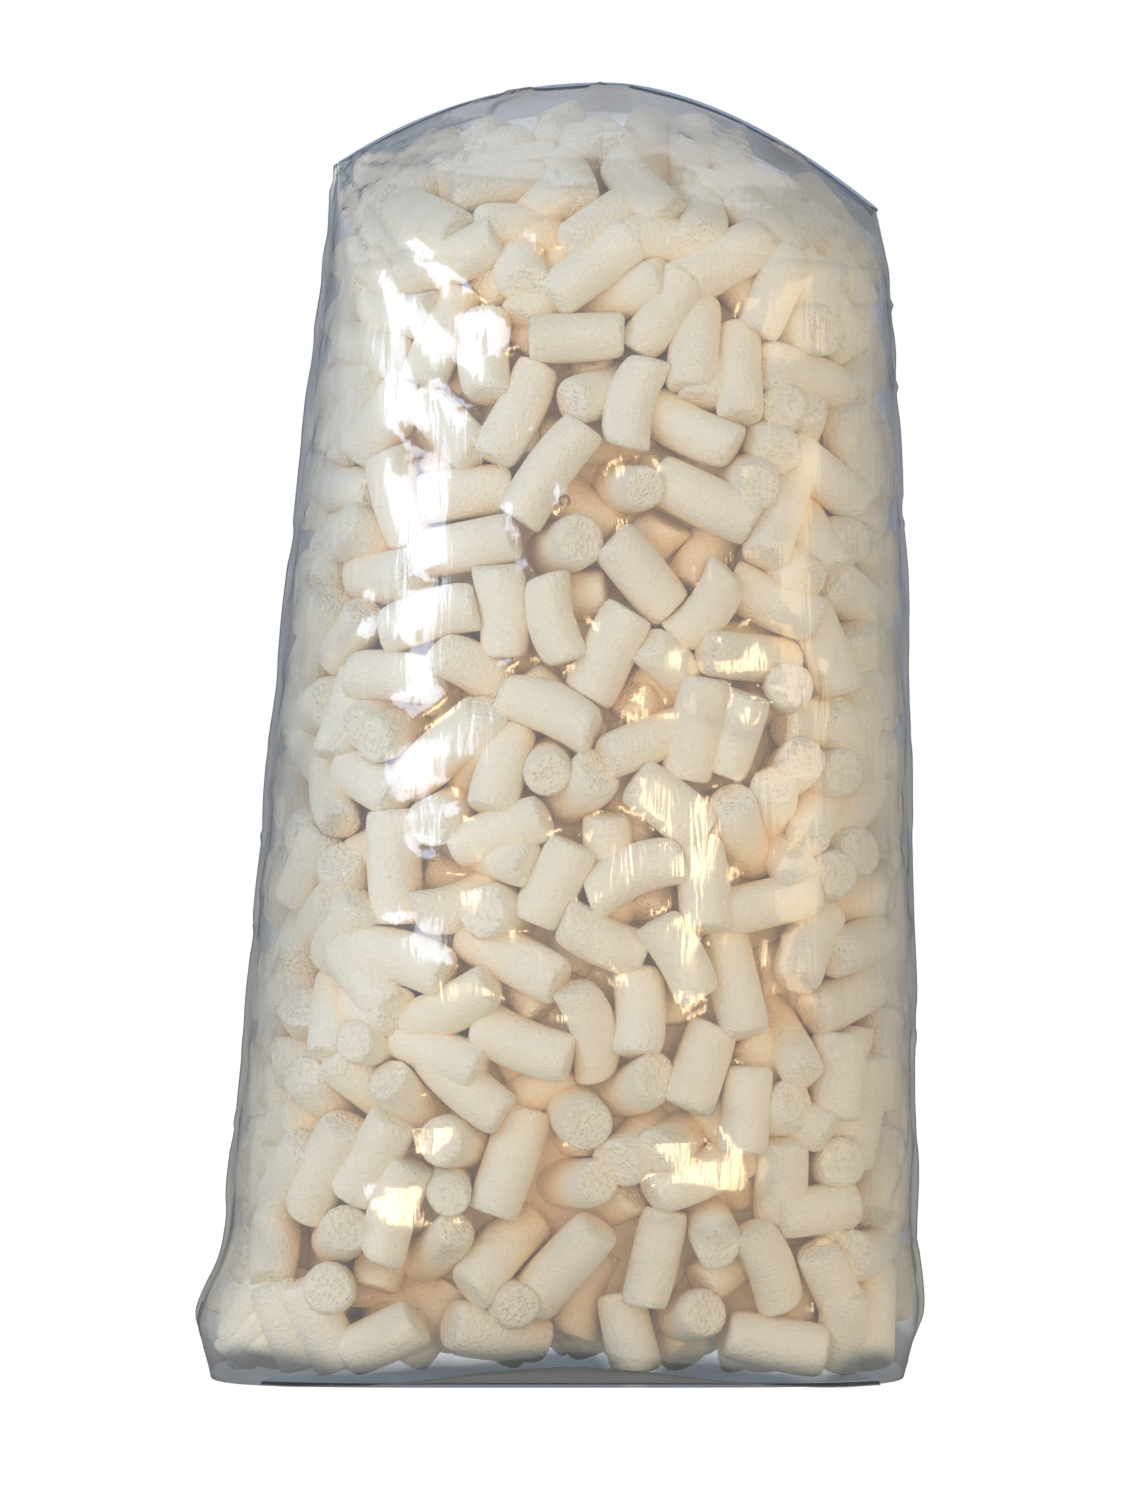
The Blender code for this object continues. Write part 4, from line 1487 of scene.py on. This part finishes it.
@dataclass(frozen=True)
class PolyFilm:
    """Blown polyethylene film: clear, glossy and a little milky, with painted tints: slate blue where it is seen
    edge-on, a painted reflection of dark surroundings, and darker by the floor and where no peanut lies behind it.
    """

    name: str = "polyethylene_film_blown"
    clear: str = "#F3F6F8"
    # painted reflection: slate blue edge-on stands in mostly for dark surroundings reflected in the film, partly
    # for the longer path through it
    edge: str = "#55647C"
    painted_floor_reflection: str = "#67675C"  # near the floor: painted shade, standing in for the shadowed floor reflected in the film's lower edges
    edge_height: float = 0.30  # where it turns from the one into the other
    edge_facing: tuple[float, float] = (0.04, 0.88)
    painted_dark_backdrop: str = "#969FAA"  # painted dark backdrop: shade that stands in for dark surroundings seen through the film where no peanut lies behind it
    painted_dark_depths: tuple[float, float] = (0.0035, 0.011)
    haze: str = "#E9EDF2"
    haze_share: float = 0.05
    roughness: float = 0.12
    broad: float = 0.36  # the roughness of the wide sheen
    broad_share: float = 0.20
    ior: float = 1.77  # gives what both faces of a film of IOR 1.5 reflect together
    most_shine: float = 0.13
    vent: Place | None = None  # where the air hole is in the front, as x, 0 and z
    vent_radius: float = 0.0016
    vent_line: float = 0.0005  # half the thickness of its rim
    vent_rim: str = "#A6A69E"
    vent_rise: float = 2.0  # in heights of a crinkle
    crinkle: float = 0.0035
    crinkle_height: float = 0.0003
    crinkle_stretch: float = 0.16  # upwards

    def vent_ring(self, node: NodeAdder, place: bpy.types.NodeSocket) -> bpy.types.NodeSocket:
        """Adds nodes that give 1 on the air hole's rim, in front only.

        Args:
            node: adds a node to the material.
            place: the place on the piece.

        Returns:
            The socket that gives it.
        """
        level = node("ShaderNodeVectorMath", {0: place, 1: (1, 0, 1)}, operation="MULTIPLY")[0]
        away = node("ShaderNodeVectorMath", {0: level, 1: self.vent}, operation="DISTANCE")["Value"]
        ring = {0: away, 1: self.vent_radius, 2: self.vent_line}
        ring = node("ShaderNodeMath", ring, operation="COMPARE")[0]
        along = node("ShaderNodeSeparateXYZ", {0: place})["Y"]
        front = node("ShaderNodeMath", {0: along, 1: 0.0}, operation="LESS_THAN")[0]
        return node("ShaderNodeMath", {0: ring, 1: front}, operation="MULTIPLY")[0]

    def material(self) -> bpy.types.Material:
        """Makes the material, for pieces in the model's place.

        Returns:
            The material.
        """
        made, node = new_material(self.name)
        place = node("ShaderNodeTexCoord")["Object"]
        upright = node("ShaderNodeMapping", {"Vector": place, "Scale": (1.0, 1.0, self.crinkle_stretch)})[0]
        folds = {"Vector": upright, "Scale": 1 / self.crinkle, "Detail": 2.0, "Distortion": 0.6}
        relief = node("ShaderNodeTexNoise", folds)["Fac"]
        if self.vent:
            rim = self.vent_ring(node, place)
            relief = node("ShaderNodeMath", {0: rim, 1: self.vent_rise, 2: relief}, operation="MULTIPLY_ADD")[0]
        bump = node("ShaderNodeBump", {"Height": relief, "Strength": 0.5, "Distance": self.crinkle_height})[0]

        # painted reflection: the tint turns slate blue as the film is seen edge-on
        facing = node("ShaderNodeLayerWeight", {"Blend": 0.35, "Normal": bump})["Facing"]
        least, most = self.edge_facing
        painted_edge_share = node("ShaderNodeMapRange", {"Value": facing, "From Min": least, "From Max": most})[0]
        # painted shade: towards the floor the edge tint turns olive grey, for the shadowed floor reflected there
        height = node("ShaderNodeSeparateXYZ", {0: place})["Z"]
        high = node("ShaderNodeMapRange", {"Value": height, "From Max": self.edge_height})[0]
        edge = node("ShaderNodeMix", {0: high, 6: linear(self.painted_floor_reflection), 7: linear(self.edge)}, data_type="RGBA")[2]
        tint = node("ShaderNodeMix", {0: painted_edge_share, 6: linear(self.clear), 7: edge}, data_type="RGBA")[2]
        # painted dark backdrop: the film darkens where no peanut lies behind it; the air hole's rim darkens too
        depth = node("ShaderNodeAttribute", attribute_name="empty")["Fac"]
        start, full = self.painted_dark_depths
        depth = {"Value": depth, "From Min": start, "From Max": full}
        empty = node("ShaderNodeMapRange", depth, interpolation_type="SMOOTHSTEP")[0]
        painted_dark_and_vent_rim = [(empty, self.painted_dark_backdrop)] + ([(rim, self.vent_rim)] if self.vent else [])
        for share, colour in painted_dark_and_vent_rim:
            darkening = {0: share, 6: tint, 7: linear(colour)}
            tint = node("ShaderNodeMix", darkening, data_type="RGBA", blend_type="MULTIPLY")[2]

        through = node("ShaderNodeBsdfTransparent", {"Color": tint})[0]
        milk = node("ShaderNodeBsdfDiffuse", {"Color": linear(self.haze), "Normal": bump})[0]
        body = node("ShaderNodeMixShader", {0: self.haze_share, 1: through, 2: milk})[0]
        sharp, broad = (
            node(
                "ShaderNodeBsdfAnisotropic",
                {"Color": (1.0, 1.0, 1.0, 1.0), "Roughness": roughness, "Normal": bump},
                distribution="GGX",
            )[0]
            for roughness in (self.roughness, self.broad)
        )
        gloss = node("ShaderNodeMixShader", {0: self.broad_share, 1: sharp, 2: broad})[0]
        shine = node("ShaderNodeFresnel", {"IOR": self.ior, "Normal": bump})[0]
        limited = node("ShaderNodeMath", {0: shine, 1: self.most_shine}, operation="MINIMUM")[0]
        surface = node("ShaderNodeMixShader", {0: limited, 1: body, 2: gloss})[0]
        node("ShaderNodeOutputMaterial", {"Surface": surface})
        return made


@dataclass(frozen=True)
class Lamp:
    """A soft rectangular lamp that shines at the bag."""

    name: str
    place: Place
    size: tuple[float, float]
    power: float
    colour: str
    aim: Place = (0.0, 0.0, 0.22)
    upright: Place = (0.0, 0.0, 1.0)  # the way of the lamp's height

    def add(self) -> None:
        """Adds the lamp to the scene."""
        data = bpy.data.lights.new(self.name, "AREA")
        data.shape = "RECTANGLE"
        data.size, data.size_y = self.size
        data.energy = self.power
        data.color = linear(self.colour)[:3]
        lamp = bpy.data.objects.new(self.name, data)
        bpy.context.scene.collection.objects.link(lamp)
        lamp.location = self.place
        back = (Vector(self.place) - Vector(self.aim)).normalized()
        across = Vector(self.upright).cross(back).normalized()
        lamp.rotation_euler = Matrix((across, back.cross(across), back)).transposed().to_euler()


@dataclass(frozen=True)
class Studio:
    """The pale floor, the soft light and the camera."""

    distance: float = 1.8
    eye: tuple[float, float] = (0.0005, 0.2141)
    frame_height: float = 0.5195  # of the picture, in the plane of the bag's middle
    world_strength: float = 0.73
    world_colour: str = "#FFF9F0"
    floor_colour: str = "#F4EBDB"
    floor_size: float = 6.0
    floor_white: float = 0.9  # the share of the floor that the camera sees as white
    floor_glow: float = 1.08
    lamps: tuple[Lamp, ...] = (
        Lamp("key_left", (-0.84, -0.82, 0.66), (0.34, 1.1), 8.8, "#D3E3FF", upright=(-0.34, 0.72, 0.60)),
        Lamp("fill_right", (1.1, -0.9, 0.16), (0.5, 0.9), 4.0, "#FFDFB2"),
        Lamp("warm_window", (0.38, -1.45, 0.17), (0.12, 0.30), 1.8, "#FFDFAE"),
        Lamp("warm_low", (-0.43, -1.38, 0.08), (0.15, 0.14), 1.3, "#FFE0B0"),
        Lamp("overhead", (0.1, 0.5, 1.4), (0.9, 0.9), 3.0, "#FFFFFF"),
    )

    def build(self) -> None:
        """Adds the floor, the world, the lamps and the camera."""
        self.add_floor()
        self.set_world()
        for lamp in self.lamps:
            lamp.add()
        self.add_camera()

    @staticmethod
    def seen_white(node: NodeAdder) -> bpy.types.NodeSocket:
        """Adds nodes that give 1 for the rays that show the background: camera, glossy and transmission rays.

        Args:
            node: adds a node to the tree.

        Returns:
            The socket that gives it.
        """
        path = node("ShaderNodeLightPath")
        seen = path["Is Camera Ray"]
        for other in ("Is Glossy Ray", "Is Transmission Ray"):
            seen = node("ShaderNodeMath", {0: seen, 1: path[other]}, operation="MAXIMUM")[0]
        return seen

    def add_floor(self) -> None:
        """Adds the floor, which shows nearly white to the camera and keeps the bag's shadow."""
        made = bmesh.new()
        bmesh.ops.create_grid(made, x_segments=1, y_segments=1, size=self.floor_size)
        mesh = to_mesh(made, "floor")
        floor = bpy.data.objects.new("floor", mesh)
        bpy.context.scene.collection.objects.link(floor)
        material, node = new_material("pale_paper_floor")
        plain = node("ShaderNodeBsdfDiffuse", {"Color": linear(self.floor_colour)})[0]
        white = node("ShaderNodeEmission", {"Color": (1.0, 1.0, 1.0, 1.0), "Strength": self.floor_glow})[0]
        share = node("ShaderNodeMath", {0: self.seen_white(node), 1: self.floor_white}, operation="MULTIPLY")[0]
        surface = node("ShaderNodeMixShader", {0: share, 1: plain, 2: white})[0]
        node("ShaderNodeOutputMaterial", {"Surface": surface})
        mesh.materials.append(material)

    def set_world(self) -> None:
        """Sets soft light all round, and white behind the bag as the camera sees it."""
        world = bpy.data.worlds.new("soft_white")
        bpy.context.scene.world = world
        world.use_nodes = True
        world.node_tree.nodes.clear()
        node = partial(add_node, world.node_tree)
        soft, white = (
            node("ShaderNodeBackground", {"Color": colour, "Strength": strength})[0]
            for colour, strength in ((linear(self.world_colour), self.world_strength), ((1.0, 1.0, 1.0, 1.0), 1.0))
        )
        surface = node("ShaderNodeMixShader", {0: self.seen_white(node), 1: soft, 2: white})[0]
        node("ShaderNodeOutputWorld", {"Surface": surface})

    def add_camera(self) -> None:
        """Adds the level camera in front of the bag."""
        data = bpy.data.cameras.new("camera")
        data.sensor_width = 36.0
        data.lens = data.sensor_width * self.distance / self.frame_height
        data.clip_end = 20.0
        camera = bpy.data.objects.new("camera", data)
        bpy.context.scene.collection.objects.link(camera)
        camera.location = (self.eye[0], -self.distance, self.eye[1])
        camera.rotation_euler = (math.pi / 2, 0.0, 0.0)
        bpy.context.scene.camera = camera


def main() -> None:
    """Builds the peanuts, the film and its seals, and the studio."""
    logging.basicConfig(level=logging.INFO, format="%(message)s")
    noise.seed_set(NOISE_SEED)  # without it the noise vectors differ from run to run
    filling = Filling(BagShape())
    peanuts = Peanuts(filling, StarchFoam().material())
    pieces = peanuts.build()
    vent = filling.bag.vent_place() + filling.shift
    film = PolyFilm(vent=(vent.x, 0.0, vent.z))
    pieces.append(FilmSkin(filling, peanuts.cages).build(film.material()))
    # painted shadow: the crimped seal's grey tints stand in for the shadowed floor seen through the clear seal
    crimped = PolyFilm(
        name="polyethylene_seal_crimped_painted_shadow",
        clear="#A4A6A2",
        edge="#74756E",
        painted_floor_reflection="#74756E",
        haze_share=0.04,
        crinkle=0.0016,
    )
    # as on the bag, the edge tint is a painted reflection of dark surroundings
    folded = PolyFilm(name="polyethylene_seal_folded", clear="#DCE3EC", edge="#A3B1C6", crinkle=0.0020)
    pieces += Seals(filling).build(crimped.material(), folded.material())
    for piece in pieces:
        LOG.info("%s: %d faces", piece.name, len(piece.data.polygons))
    Studio().build()
    bpy.context.scene.view_settings.view_transform = "Standard"


if __name__ == "__main__":
    main()
